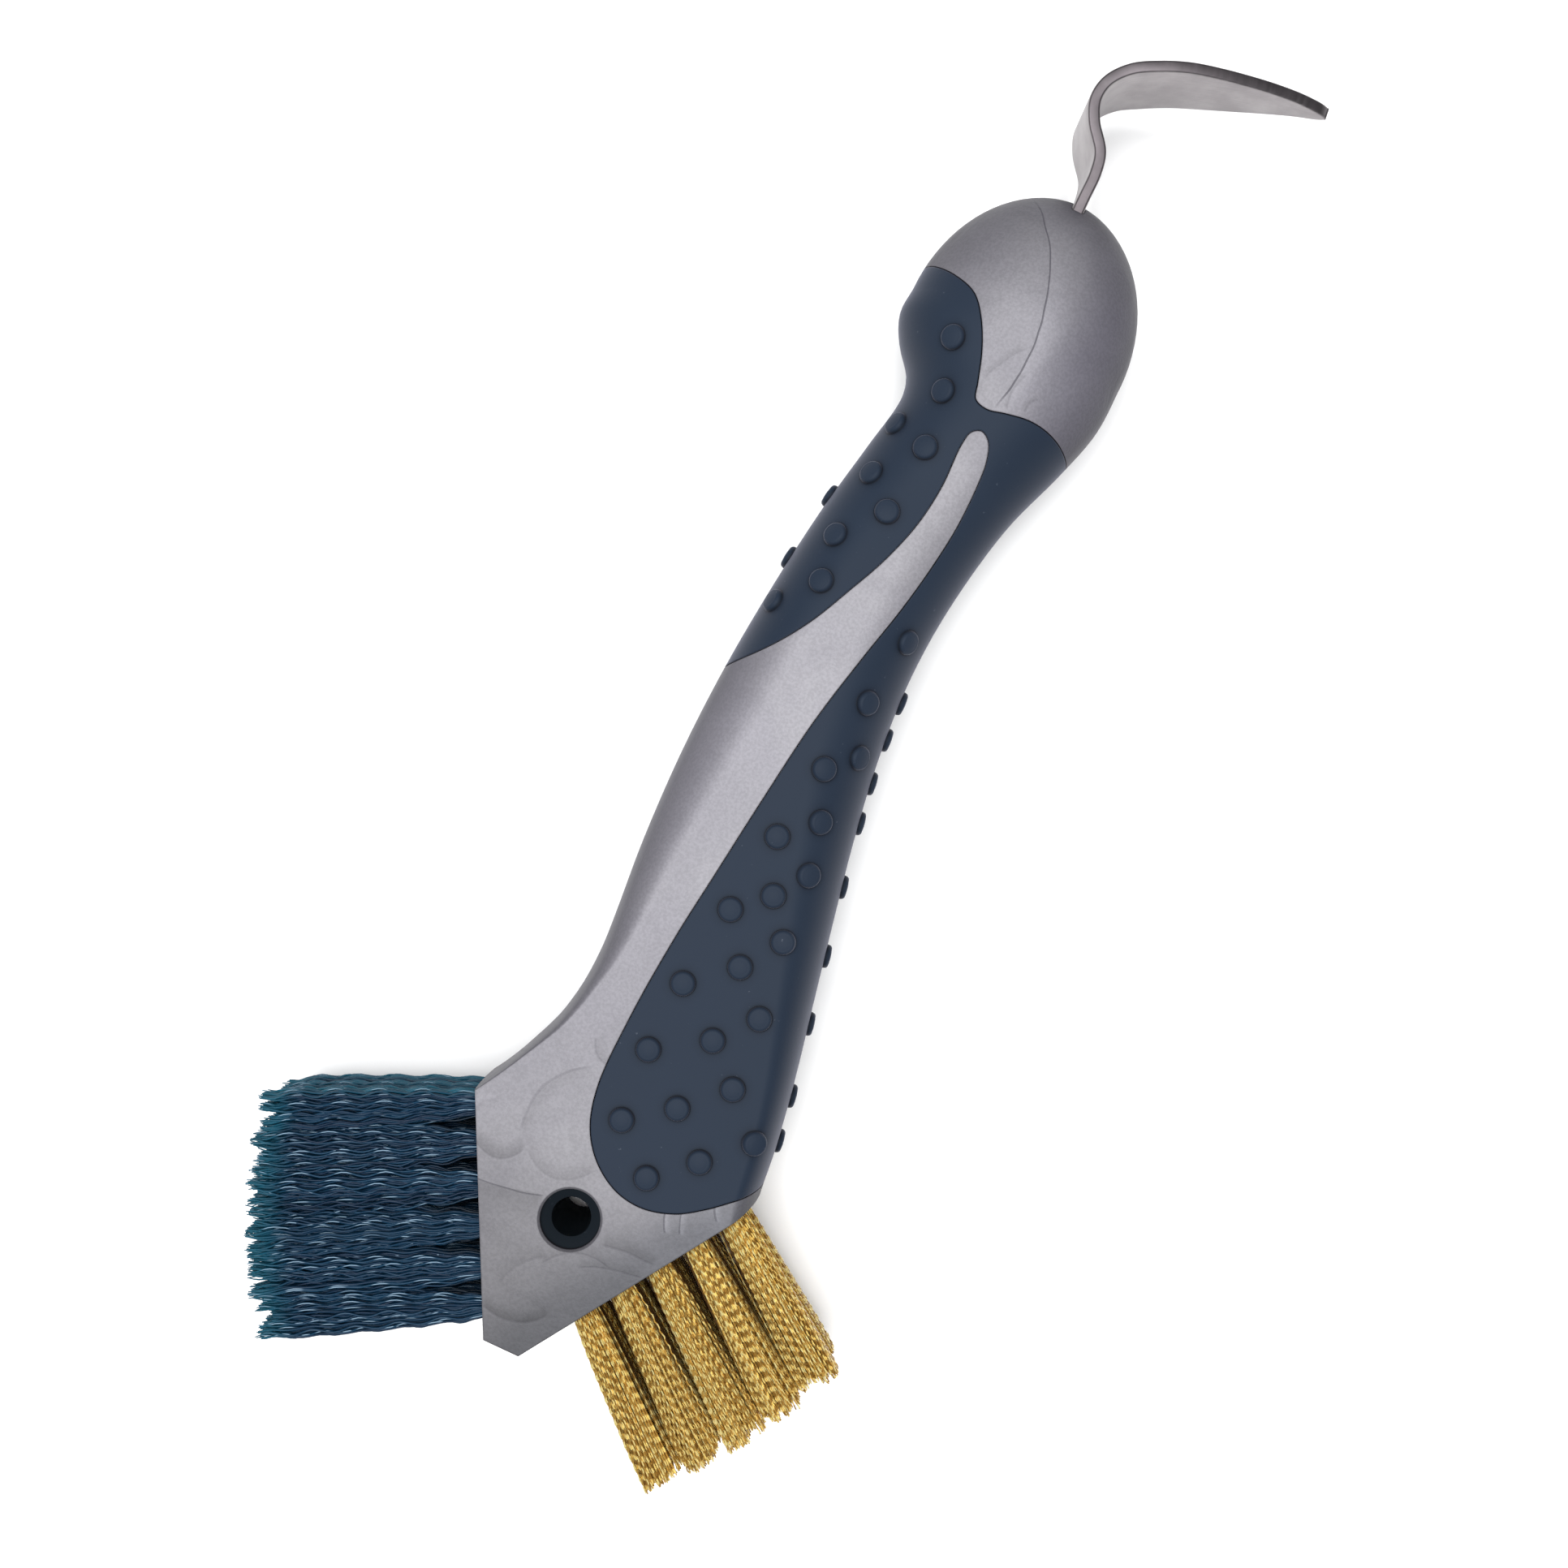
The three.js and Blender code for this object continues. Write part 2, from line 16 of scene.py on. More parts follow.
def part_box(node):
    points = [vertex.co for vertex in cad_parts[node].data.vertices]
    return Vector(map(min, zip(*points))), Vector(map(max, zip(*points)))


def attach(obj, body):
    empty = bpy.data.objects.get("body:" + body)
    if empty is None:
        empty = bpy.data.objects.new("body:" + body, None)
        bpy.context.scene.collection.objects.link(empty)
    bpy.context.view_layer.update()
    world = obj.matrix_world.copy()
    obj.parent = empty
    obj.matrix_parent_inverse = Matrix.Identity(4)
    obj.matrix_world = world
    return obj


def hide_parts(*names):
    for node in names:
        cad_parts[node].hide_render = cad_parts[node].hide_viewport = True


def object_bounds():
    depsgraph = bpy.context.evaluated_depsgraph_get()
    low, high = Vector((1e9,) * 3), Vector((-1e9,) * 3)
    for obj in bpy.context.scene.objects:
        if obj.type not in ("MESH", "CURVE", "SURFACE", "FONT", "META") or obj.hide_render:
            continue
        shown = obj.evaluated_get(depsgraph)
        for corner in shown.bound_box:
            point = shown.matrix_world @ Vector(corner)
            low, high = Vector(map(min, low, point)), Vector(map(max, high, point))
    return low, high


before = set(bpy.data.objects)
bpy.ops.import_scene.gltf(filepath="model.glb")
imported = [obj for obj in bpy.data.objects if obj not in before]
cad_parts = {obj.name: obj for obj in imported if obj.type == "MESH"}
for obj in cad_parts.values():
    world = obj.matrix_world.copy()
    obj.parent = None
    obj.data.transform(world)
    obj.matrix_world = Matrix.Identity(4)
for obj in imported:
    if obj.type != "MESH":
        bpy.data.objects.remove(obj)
CAD_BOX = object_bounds()

MM = 0.001
HOLE_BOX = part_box("hang_hole_sleeve")
ORIGIN = (np.array(HOLE_BOX[0]) + np.array(HOLE_BOX[1])) / 2  # the design frame's origin, in metres
RANDOM = np.random.default_rng(11)
SKIN, CUT = 0, 1  # marks on faces: the handle's own surface, and what booleans cut or added

# ---------------------------------------------------------------- dimensions, in millimetres

# The handle's section is a slab with elliptical sides. Each list holds (y, value) stations.
LEFT_EDGE = [
    (-26, -30), (0, -30), (8, -23.4), (11.2, -20.85), (15.2, -18.55), (18.6, -16.95), (24.4, -14.6),
    (28.3, -13.65), (32, -13.15), (37, -13), (42, -13.3), (54, -14.25), (68, -14.6), (82, -14.1),
    (96, -12.8), (110, -10.9), (122, -8.6), (130, -7.1), (134, -7.9), (138, -10.9), (142, -12.7),
    (146, -12.45),
]
RIGHT_EDGE = [
    (-26, 30), (4, 26.4), (12, 24.4), (20, 23.5), (30, 21.9), (42, 19.5), (54, 17.1), (66, 14.8), (78, 13),
    (90, 12.1), (100, 12.4), (110, 13.7), (120, 15.9), (130, 19.5), (138, 21.8), (146, 22.15),
]
HALF_THICKNESS = [
    (-26, 11), (10, 11), (20, 11), (50, 11.4), (80, 11.6), (105, 11), (120, 10.7), (134, 12.6), (146, 14),
]
LEFT_ROUND = [
    (-26, 0.5), (11, 0.5), (16, 0.7), (20.3, 1.1), (24.5, 1.6), (32, 2.5), (36.6, 3.5), (44, 4.8), (75, 9),
    (110, 9.5), (130, 12), (146, 16.8),
]
RIGHT_ROUND = [(-26, 3.6), (20, 4.2), (45, 6.5), (75, 9.5), (110, 10.5), (130, 12.5), (146, 16.8)]

# The bulb ends in half an ellipsoid that starts at its widest section.
BULB_X, BULB_Y, BULB_HALF_WIDTH, BULB_HEIGHT = 4.85, 146, 17.3, 21.3
BULB_HALF_THICKNESS, BULB_ROUND, BULB_BLUNTNESS = 14, 16.8, 0.85

# The brush head is cut flat on three sides.
NYLON_CORNER_TOP = (-21.2, 12.8)
NYLON_CORNER_LOW = (-4, -21.1)
BRASS_CORNER_LOW = (1.6, -21.1)
BRASS_CORNER_TOP = (22.9, 11.3)

HANG_HOLE_RADIUS = 4.4
HANG_HOLE_CHAMFER = 0.35
SLEEVE_WALL = 1.2
SLEEVE_SETBACK = 1
SLEEVE_FIT = 0.04  # the sleeve's outside is this much smaller than its hole
CLEARANCE = 0.3
CUTTER_REACH = 30  # how far the upright cutting prisms go above and below the middle plane

GRIP_THICKNESS = 2
SEAM = 0.16  # the gap that shows between rubber and plastic
GRIP_TOP_EDGE = [
    (-24, 151), (-12.3, 149.2), (-6.9, 147.6), (-3.6, 145.9), (-1.2, 142.8), (0.8, 138.8), (2.2, 134.6),
    (3, 132.2), (5, 131.5), (8.1, 132.1), (11.8, 132.7), (15.7, 132.4), (20, 130.9), (32, 124),
]
GRIP_PAD_EDGE = [
    (34, 21), (24.2, 15.4), (20.8, 12.8), (17.3, 9.8), (13.3, 7.2), (8.6, 6), (4.2, 6.7), (0, 9.4),
    (-2.9, 13.4), (-4.4, 19.2), (-4.4, 30), (-3.4, 43), (-2, 54), (-0.3, 67), (1.6, 80), (4.1, 91.4),
    (6.3, 100.4), (7.8, 108.4), (8.6, 115), (8.7, 121.5), (8.4, 125), (7.4, 127.6), (5.8, 128.6),
    (4.4, 127.8), (3.9, 125.6), (3.9, 119), (3, 112.6), (0.9, 105.9), (-1.8, 99.9), (-5, 93.4),
    (-8.8, 87.9), (-14.4, 82.2), (-24, 74),
]
DOT_PROFILE = [  # (radius, height) from the buried foot to the middle of the top
    (0, -1), (1.85, -1), (1.85, -0.1), (1.8, 0.3), (1.7, 0.55), (1.52, 0.72), (1.34, 0.78), (1.24, 0.77),
    (1.14, 0.8), (0.6, 0.87), (0, 0.9),
]
PAD_DOTS = [
    (7.5, 10.2), (13.5, 15.5), (0.7, 16.3), (7.3, 21.2), (-0.1, 27.2), (13.4, 27.1), (19.6, 21.3),
    (7.8, 32.3), (0.4, 38), (12.6, 38), (6.9, 43.6), (2.1, 50.6), (11, 49.5), (6.9, 55), (10.3, 59.8),
    (3.8, 63), (8.6, 67.5), (5.8, 74.7), (9.8, 78.4), (7.5, 86.1), (9.1, 96.7),
]
THUMB_DOTS = [
    (-3.7, 139.1), (-1.7, 131.8), (-6, 125.4), (-0.6, 123.2), (-6.2, 117), (-1.7, 112.4), (-7.1, 106.4),
    (-6.1, 99.3), (-11.3, 94.1),
]
RIGHT_SIDE_DOTS = [21.2, 28.1, 39.1, 49.4, 59.9, 69.7, 75.9, 82.8, 88.7]
LEFT_SIDE_DOTS = [112.6, 101.6]

PICK_THICKNESS = 1.8
PICK_WIDTH = 15
PICK_FILLET = 0.35
PICK_TIP_RADIUS = 1.7
PICK_TANG_WIDTH = 11
PICK_TANG_FIT = 0.08  # the slot in the bulb is this much larger all round
PICK_TANG_Y = (130, 150)  # where the tang starts, and where it reaches the full width
PICK_PATH = [
    (5, 130), (5, 140), (5, 150), (5, 160), (5, 167), (5, 171), (4.3, 174.1), (1.6, 177.8), (0.4, 180.9),
    (0.9, 184), (3.3, 187), (7.2, 189.3), (11.2, 191.1), (15.5, 192.5), (20, 193.8), (24.5, 195),
    (28.6, 195.9), (33, 196.5),
]
TAPER_START_X, TAPER_LENGTH, TAPER_SHARE, TAPER_POWER = 5, 28, 0.9, 1.65

HOLE_DEPTH = 7.5
STRAND_START = -3  # strands are modelled from this far down in their hole
TIP_SQUARENESS = 3.4  # the power of the superellipse that the tips fill
TIP_SETBACK = 0.3  # strands end this far short of their tuft, before the raggedness
SHORTEST = -2.6  # how much raggedness may shorten a strand
STRAY = 2.4  # how far a loose wire strays sideways
OUTER_INSET = 0.35  # keeps the strands of the first and last tufts inside the brush's sides
CLUMP_INSET = 0.3  # clumps keep this far inside their tuft

# First the tufts' holes and outer shape, as in the CAD, then the strands that each tuft is made of.
BRUSHES = {
    "nylon": {
        "face": (NYLON_CORNER_LOW, NYLON_CORNER_TOP), "columns": 6, "rows": 3, "start": 3.5, "pitch": 6,
        "row_pitch": 5.3, "hole_radius": 2, "tip_half": (2.97, 2.7), "lean": -0.4, "column_fan": -0.36,
        "row_fan": 0.6, "length": lambda column: 35.1 - 0.28 * (column - 1.9) ** 2,
        "count": 150, "radius": 0.17, "sides": 5, "rings": 46, "taper": 0.6, "spreading": 0.42,
        "overlap": 0.9, "crimp": 0.36, "wave": 6.3, "phase_spread": 0.7, "swing": 0.45, "swing_spread": 0.3,
        "ragged": 1.1, "longest": 0.1, "wander": 0.35, "clumps": 6, "clump": 0.95, "loose": 0,
        "gap_shadow": 0.3,
    },
    "brass": {
        "face": (BRASS_CORNER_TOP, BRASS_CORNER_LOW), "columns": 5, "rows": 2, "start": 3, "pitch": 6.4,
        "row_pitch": 7, "hole_radius": 2.5, "tip_half": (3.2, 3.4), "lean": 4.7, "column_fan": -1.15,
        "row_fan": 1.2, "length": lambda column: 29.6 - 0.35 * (column - 2) ** 2,
        "count": 230, "radius": 0.13, "sides": 3, "rings": 60, "taper": 0, "spreading": 0.62,
        "overlap": 0.2, "crimp": 0.12, "wave": 1.7, "phase_spread": 9, "swing": 0, "swing_spread": 3,
        "ragged": 0.7, "longest": 0.2, "wander": 0.3, "clumps": 9, "clump": 0.25, "loose": 0.07,
        "gap_shadow": 0.85,
    },
}

# Marks that the flowing plastic left on both faces: where a mark starts, its middle and its end, then its
# half width, how dark it is, how much painted shade lies beside it for the mark's relief (on the left,
# looking along the mark; below 0 it is painted light) and how far that reaches.
FLOW_MARKS = [
    ((-2.6, 165), (5.6, 151.5), (5.9, 131.4), 0.17, 0.75, -0.1, 5),
    ((3, 135.2), (4.3, 138.4), (6.8, 141.4), 0.2, 0.12, 0.15, 1.2),
    ((7.9, 132.6), (7.6, 135.5), (8.6, 138.4), 0.25, 0.15, 0.18, 1.1),
    ((10.4, 133.3), (10.5, 134.6), (11.4, 136), 0.25, 0.12, 0.15, 1),
    ((-6, 21.8), (-11.3, 16.6), (-11.9, 8.2), 0.3, 0.25, 0.12, 2.6),
    ((-7.8, 25.6), (-6.8, 23.4), (-3.2, 22.9), 0.25, 0.22, 0.14, 2.2),
    ((-17.4, 4.6), (-13.9, 3.5), (-10.2, 6.6), 0.3, 0.12, 0.26, 3),
    ((-10.3, 6.9), (-5.6, 4.4), (0.6, 8.4), 0.3, 0.08, 0.14, 2.6),
    ((-15.6, -0.4), (-10.3, 0.3), (-4.6, 1.7), 0.13, 0.5, 0, 2),
    ((-4.6, 1.7), (-10.3, 0.3), (-15.6, -0.4), 0.1, 0, 0.24, 6),
    ((-1.3, -7.7), (3, -3.9), (8.4, -4), 0.25, 0.2, 0.12, 1.6),
    ((3.8, -6), (8.2, -4), (13.4, -3.4), 0.25, 0.22, 0.14, 1.6),
    ((-5.4, -12.6), (-3.8, -8.9), (-0.3, -6), 0.3, 0.1, 0.12, 2.4),
    ((5.4, -1.3), (10, -1), (14.2, -0.9), 0.3, 0.2, 0.2, 2.4),
    ((12, 6.9), (12.5, 5.1), (13.3, 3.9), 0.15, 0.55, -0.3, 1.2),
    ((14.3, 7.9), (14.6, 6.2), (15.3, 4.6), 0.13, 0.45, -0.3, 1.2),
    ((18, 11.8), (18.5, 10.1), (19.6, 8.6), 0.15, 0.5, -0.25, 1.2),
    ((-6.6, -16.4), (-1.5, -16.9), (3.2, -13.7), 0.4, 0.12, 0.3, 2.4),
    ((-19.6, 8.4), (-18.4, 10.6), (-16.6, 11.2), 0.6, 0.1, -0.12, 1.6),
]
# The plastic's painted light and shade along the handle, as (y, brightness).
PAINTED_LIGHT_ALONG = [
    (-22, 0.39), (-6, 0.52), (10, 0.82), (40, 0.94), (75, 1.05), (95, 1), (125, 0.92), (146, 0.86),
    (166, 0.6),
]

CAMERA_HEIGHT = 272  # above the middle of the handle's thickness
CAMERA_OVER = (1.45, 70.3)
CAMERA_TURN = 25  # degrees that the handle leans to the right in the picture
VIEW_HALF_WIDTH = 118.3  # at the handle's middle plane
FLOOR_HALF_SIDE = 3  # metres
FLOOR_DROP = 0.0005  # metres that the floor lies under the part


# ---------------------------------------------------------------- curves and meshes


def through_stations(stations, y):
    """A smooth curve through (y, value) stations, read at the places y."""
    at, value = np.array(stations, float).T
    before = np.maximum(np.arange(len(at)) - 1, 0)
    after = np.minimum(np.arange(len(at)) + 1, len(at) - 1)
    slope = (value[after] - value[before]) / (at[after] - at[before])
    i = np.clip(np.searchsorted(at, y), 1, len(at) - 1)
    span = at[i] - at[i - 1]
    t = np.clip((y - at[i - 1]) / span, 0, 1)
    rise = t * t * (3 - 2 * t)
    bend = slope[i - 1] * t * (1 - t) ** 2 - slope[i] * t * t * (1 - t)
    return value[i - 1] + (value[i] - value[i - 1]) * rise + span * bend


def through_points(points, per_span):
    """A centripetal Catmull-Rom curve through points, with per_span samples between each two."""
    p = np.array(points, float)
    p = np.vstack([2 * p[0] - p[1], p, 2 * p[-1] - p[-2]])
    step = np.linalg.norm(np.diff(p, axis=0), axis=1)[:, None] ** 0.5
    before, start, end, after = p[:-3], p[1:-2], p[2:-1], p[3:]
    d0, d1, d2 = step[:-2], step[1:-1], step[2:]
    leaving = d1 * ((start - before) / d0 - (end - before) / (d0 + d1)) + end - start
    arriving = d1 * ((after - end) / d2 - (after - start) / (d1 + d2)) + end - start
    t = np.linspace(0, 1, per_span, endpoint=False)[None, :, None]
    start, end, leaving, arriving = (v[:, None] for v in (start, end, leaving, arriving))
    curve = start * (2 * t**3 - 3 * t**2 + 1) + leaving * (t**3 - 2 * t**2 + t)
    curve = curve + end * (3 * t**2 - 2 * t**3) + arriving * (t**3 - t**2)
    return np.vstack([curve.reshape(-1, p.shape[1]), p[-2]])


def mesh_object(name, points, faces, part=SKIN):
    """A new object from points in design millimetres, with its faces turned outwards."""
    mesh = bpy.data.meshes.new(name)
    mesh.from_pydata((np.array(points) * MM + ORIGIN).tolist(), [], faces)
    mesh.materials.append(None)
    mesh.materials.append(None)
    mesh.polygons.foreach_set("material_index", [part] * len(mesh.polygons))
    mesh.polygons.foreach_set("use_smooth", [True] * len(mesh.polygons))
    work = bmesh.new()
    work.from_mesh(mesh)
    bmesh.ops.recalc_face_normals(work, faces=work.faces)
    work.to_mesh(mesh)
    work.free()
    return linked_object(name, mesh)


def ring_faces(ring_count, ring_size):
    """Quads between rings of points that follow each other."""
    ring = np.arange(ring_count - 1)[:, None] * ring_size
    here = np.arange(ring_size)[None, :]
    following = (here + 1) % ring_size
    beyond = ring + ring_size
    quads = np.stack([ring + here, ring + following, beyond + following, beyond + here], -1)
    return quads.reshape(-1, 4).tolist()


def loft_object(name, rings, part=SKIN):
    """A closed body through rings of the same number of points."""
    rings = np.array(rings)
    count, size, _ = rings.shape
    faces = ring_faces(count, size)
    faces.append(list(range(size)))
    faces.append(list(range((count - 1) * size, count * size)))
    return mesh_object(name, rings.reshape(-1, 3), faces, part)


def prism_object(name, outline):
    """An upright prism over an outline, for cutting the handle."""
    outline = np.array(outline, float)
    heights = (-CUTTER_REACH, CUTTER_REACH)
    rings = [np.column_stack([outline, np.full(len(outline), z)]) for z in heights]
    return loft_object(name, rings, CUT)


def turned_object(name, profile, steps, matrix=Matrix()):
    """A closed body turned about Z from (radius, height) points, then placed by matrix."""
    points, faces, rows = [], [], []
    angles = np.arange(steps) / steps * 2 * math.pi
    for radius, height in profile:
        if radius == 0:
            rows.append([len(points)])
            points.append((0, 0, height))
        else:
            rows.append(list(range(len(points), len(points) + steps)))
            points.extend((radius * math.cos(a), radius * math.sin(a), height) for a in angles)
    for low, high in zip(rows, rows[1:]):
        for j in range(steps):
            following = (j + 1) % steps
            if len(low) == 1:
                faces.append((low[0], high[following], high[j]))
            elif len(high) == 1:
                faces.append((low[j], low[following], high[0]))
            else:
                faces.append((low[j], low[following], high[following], high[j]))
    placed = [matrix @ Vector(point) for point in points]
    return mesh_object(name, placed, faces, CUT)


def joined(name, objects):
    """The meshes of several objects as one object."""
    work = bmesh.new()
    for obj in objects:
        work.from_mesh(obj.data)
    mesh = bpy.data.meshes.new(name)
    mesh.materials.append(None)
    mesh.materials.append(None)
    work.to_mesh(mesh)
    work.free()
    for obj in objects:
        discard(obj)
    return linked_object(name, mesh)


def linked_object(name, mesh):
    obj = bpy.data.objects.new(name, mesh)
    bpy.context.scene.collection.objects.link(obj)
    return obj


def discard(obj):
    mesh = obj.data
    bpy.data.objects.remove(obj)
    bpy.data.meshes.remove(mesh)


def combine(target, operation, other):
    """Changes target by a boolean operation with other, which is used up."""
    change = target.modifiers.new(operation, "BOOLEAN")
    change.operation = operation
    change.solver = "MANIFOLD"
    change.object = other
    changed = target.evaluated_get(bpy.context.evaluated_depsgraph_get())
    mesh = bpy.data.meshes.new_from_object(changed)
    target.modifiers.clear()
    old = target.data
    target.data = mesh
    bpy.data.meshes.remove(old)
    discard(other)


# ---------------------------------------------------------------- the handle's outer shape


def sections(y, inset=0):
    """Left, right, half thickness and the two roundings of the handle's section at each place y."""
    y = np.asarray(y, float)
    dome = np.clip((y - BULB_Y) / (BULB_HEIGHT - inset), 0, 1)
    shrink = np.sqrt(1 - dome**2)
    on_dome = y > BULB_Y
    half_width = (BULB_HALF_WIDTH - inset) * shrink
    left = np.where(on_dome, BULB_X - half_width, through_stations(LEFT_EDGE, y) + inset)
    right = np.where(on_dome, BULB_X + half_width, through_stations(RIGHT_EDGE, y) - inset)
    dome_half = (BULB_HALF_THICKNESS - inset) * shrink**BULB_BLUNTNESS
    half = np.where(on_dome, dome_half, through_stations(HALF_THICKNESS, y) - inset)
    round_dome = (BULB_ROUND - inset) * shrink
    left_round = np.where(on_dome, round_dome, through_stations(LEFT_ROUND, y) - inset)
    right_round = np.where(on_dome, round_dome, through_stations(RIGHT_ROUND, y) - inset)
    return left, right, half, left_round, right_round


def level(x, y, z):
    """1 on the handle's surface, less inside it and more outside."""
    left, right, half, left_round, right_round = sections(y)
    past = np.maximum(np.maximum((x - right) / right_round + 1, (left - x) / left_round + 1), 0)
    return past**2 + (z / half) ** 2


def outward(points):
    """The surface's outward direction at points near it."""
    step = 0.02
    x, y, z = np.array(points, float).T
    slope = np.column_stack([
        level(x + step, y, z) - level(x - step, y, z),
        level(x, y + step, z) - level(x, y - step, z),
        level(x, y, z + step) - level(x, y, z - step),
    ])
    return slope / np.maximum(np.linalg.norm(slope, axis=1, keepdims=True), 1e-9)


def surface_height(x, y):
    """How high the handle's surface is above the middle plane at (x, y)."""
    left, right, half, left_round, right_round = (float(v) for v in sections(y))
    past = max(0, (x - right) / right_round + 1, (left - x) / left_round + 1)
    return half * math.sqrt(max(0, 1 - past * past))


def section_ring(y, inset, side_steps, flat_steps):
    """The outline of one section, with its flats divided evenly."""
    left, right, half, left_round, right_round = (float(v) for v in sections(y, inset))
    angle = np.linspace(0, math.pi / 2, side_steps + 1)
    right_side = np.column_stack([right - right_round * (1 - np.cos(angle)), half * np.sin(angle)])
    left_side = np.column_stack([left + left_round * (1 - np.sin(angle)), half * np.cos(angle)])
    flat_x = np.linspace(right - right_round, left + left_round, flat_steps + 1)[1:-1]
    flat = np.column_stack([flat_x, np.full(len(flat_x), half)])
    upper = np.vstack([right_side, flat, left_side])
    lower = upper[1:-1][::-1] * (1, -1)
    ring = np.vstack([upper, lower])
    return np.column_stack([ring[:, 0], np.full(len(ring), y), ring[:, 1]])


def handle_loft(name, inset, step, side_steps, flat_steps, part):
    """The lofted handle, made smaller all round by inset, with a ring every step millimetres."""
    low = LEFT_EDGE[0][0]
    stations = list(np.linspace(low, BULB_Y, round((BULB_Y - low) / step) + 1))
    dome_steps = max(6, round(BULB_HEIGHT / step))
    angles = np.linspace(0, math.radians(88.5), dome_steps + 1)[1:]
    stations += list(BULB_Y + (BULB_HEIGHT - inset) * np.sin(angles))
    rings = [section_ring(y, inset, side_steps, flat_steps) for y in stations]
    return loft_object(name, rings, part)


def head_trim():
    """The flat cuts of the brush head, carried on upwards clear of the rest of the handle."""

    def along(low, high, y):
        share = (y - low[1]) / (high[1] - low[1])
        return low[0] + (high[0] - low[0]) * share, y

    top = BULB_Y + BULB_HEIGHT + 20
    outline = [
        NYLON_CORNER_LOW,
        BRASS_CORNER_LOW,
        along(BRASS_CORNER_LOW, BRASS_CORNER_TOP, top),
        along(NYLON_CORNER_LOW, NYLON_CORNER_TOP, top),
    ]
    return prism_object("head_trim", outline)


def grip_outline(grow):
    """The rubber's outline, seen from above, moved outwards by grow."""
    loop = np.vstack([through_points(GRIP_TOP_EDGE, 8), through_points(GRIP_PAD_EDGE, 8)])
    along = np.roll(loop, -1, 0) - np.roll(loop, 1, 0)
    along /= np.linalg.norm(along, axis=1, keepdims=True)
    return loop + np.column_stack([-along[:, 1], along[:, 0]]) * grow


def shade_by_shape(obj):
    """Gives the handle's own surface its exact normals, and splits the rest at sharp edges."""
    mesh = obj.data
    mesh.set_sharp_from_angle(angle=math.radians(32))
    loop_count = len(mesh.loops)
    corner = np.empty(loop_count, int)
    mesh.loops.foreach_get("vertex_index", corner)
    places = np.empty(len(mesh.vertices) * 3)
    mesh.vertices.foreach_get("co", places)
    exact = outward((places.reshape(-1, 3) - ORIGIN) / MM)
    start = np.empty(len(mesh.polygons), int)
    total = np.empty(len(mesh.polygons), int)
    part = np.empty(len(mesh.polygons), int)
    flat = np.empty(len(mesh.polygons) * 3)
    mesh.polygons.foreach_get("loop_start", start)
    mesh.polygons.foreach_get("loop_total", total)
    mesh.polygons.foreach_get("material_index", part)
    mesh.polygons.foreach_get("normal", flat)
    of_face = np.repeat(np.arange(len(total)), total)
    normals = np.zeros((loop_count, 3))
    faced = (exact[corner] * flat.reshape(-1, 3)[of_face]).sum(1) > 0.7
    own = (part[of_face] == SKIN) & faced
    normals[own] = exact[corner][own]
    mesh.normals_split_custom_set(normals.tolist())


# ---------------------------------------------------------------- the handle's pieces


def trimmed_loft(name, inset, step, side_steps, flat_steps, part):
    """The lofted handle with its brush head cut flat."""
    body = handle_loft(name, inset, step, side_steps, flat_steps, part)
    combine(body, "INTERSECT", head_trim())
    return body


def make_core():
    """The plastic: the handle, set back under the rubber, with its holes and the pick's slot."""
    core = trimmed_loft("core_shell", 0, 1, 20, 24, SKIN)
    combine(core, "DIFFERENCE", prism_object("grip_room", grip_outline(SEAM)))
    combine(core, "UNION", trimmed_loft("under_grip", GRIP_THICKNESS + SEAM, 3, 8, 4, CUT))
    combine(core, "DIFFERENCE", hang_hole())
    combine(core, "DIFFERENCE", tang_slot())
    combine(core, "DIFFERENCE", tuft_holes())
    return core


def hang_hole():
    """What is cut away for the hang hole and its chamfers."""
    half = HALF_THICKNESS[0][1]
    wide = HANG_HOLE_RADIUS + HANG_HOLE_CHAMFER + 1
    profile = [
        (0, -half - 1), (wide, -half - 1), (HANG_HOLE_RADIUS, -half + HANG_HOLE_CHAMFER),
        (HANG_HOLE_RADIUS, half - HANG_HOLE_CHAMFER), (wide, half + 1), (0, half + 1),
    ]
    return turned_object("hang_hole", profile, 96)


def make_sleeve():
    """The rubber lining of the hang hole, chamfered inside and eased outside at both mouths."""
    half = HALF_THICKNESS[0][1] - SLEEVE_SETBACK
    outer = HANG_HOLE_RADIUS - SLEEVE_FIT
    inner = HANG_HOLE_RADIUS - CLEARANCE - SLEEVE_WALL
    front_chamfer, back_chamfer = 1, 0.5
    easing, easing_depth = 0.12, 0.05
    profile = [
        (inner, back_chamfer - half), (outer - easing, easing_depth - half), (outer, -half),
        (outer, half), (outer - easing, half - easing_depth), (inner, half - front_chamfer),
    ]
    angles = np.linspace(0, 2 * math.pi, 96, endpoint=False)
    rings = [[(r * math.cos(a), r * math.sin(a), z) for r, z in profile] for a in angles]
    size = len(profile)
    faces = ring_faces(len(rings), size)
    last = (len(rings) - 1) * size
    faces += [[last + j, last + (j + 1) % size, (j + 1) % size, j] for j in range(size)]
    sleeve = mesh_object("hole_sleeve", np.array(rings).reshape(-1, 3), faces)
    sleeve.data.set_sharp_from_angle(angle=math.radians(32))
    return sleeve


def dot(x, y, z):
    """A raised dot that stands on the grip's surface at a place."""
    turn = Vector((0, 0, 1)).rotation_difference(Vector(outward([(x, y, z)])[0])).to_matrix().to_4x4()
    return turned_object("dot", DOT_PROFILE, 28, Matrix.Translation((x, y, z)) @ turn)


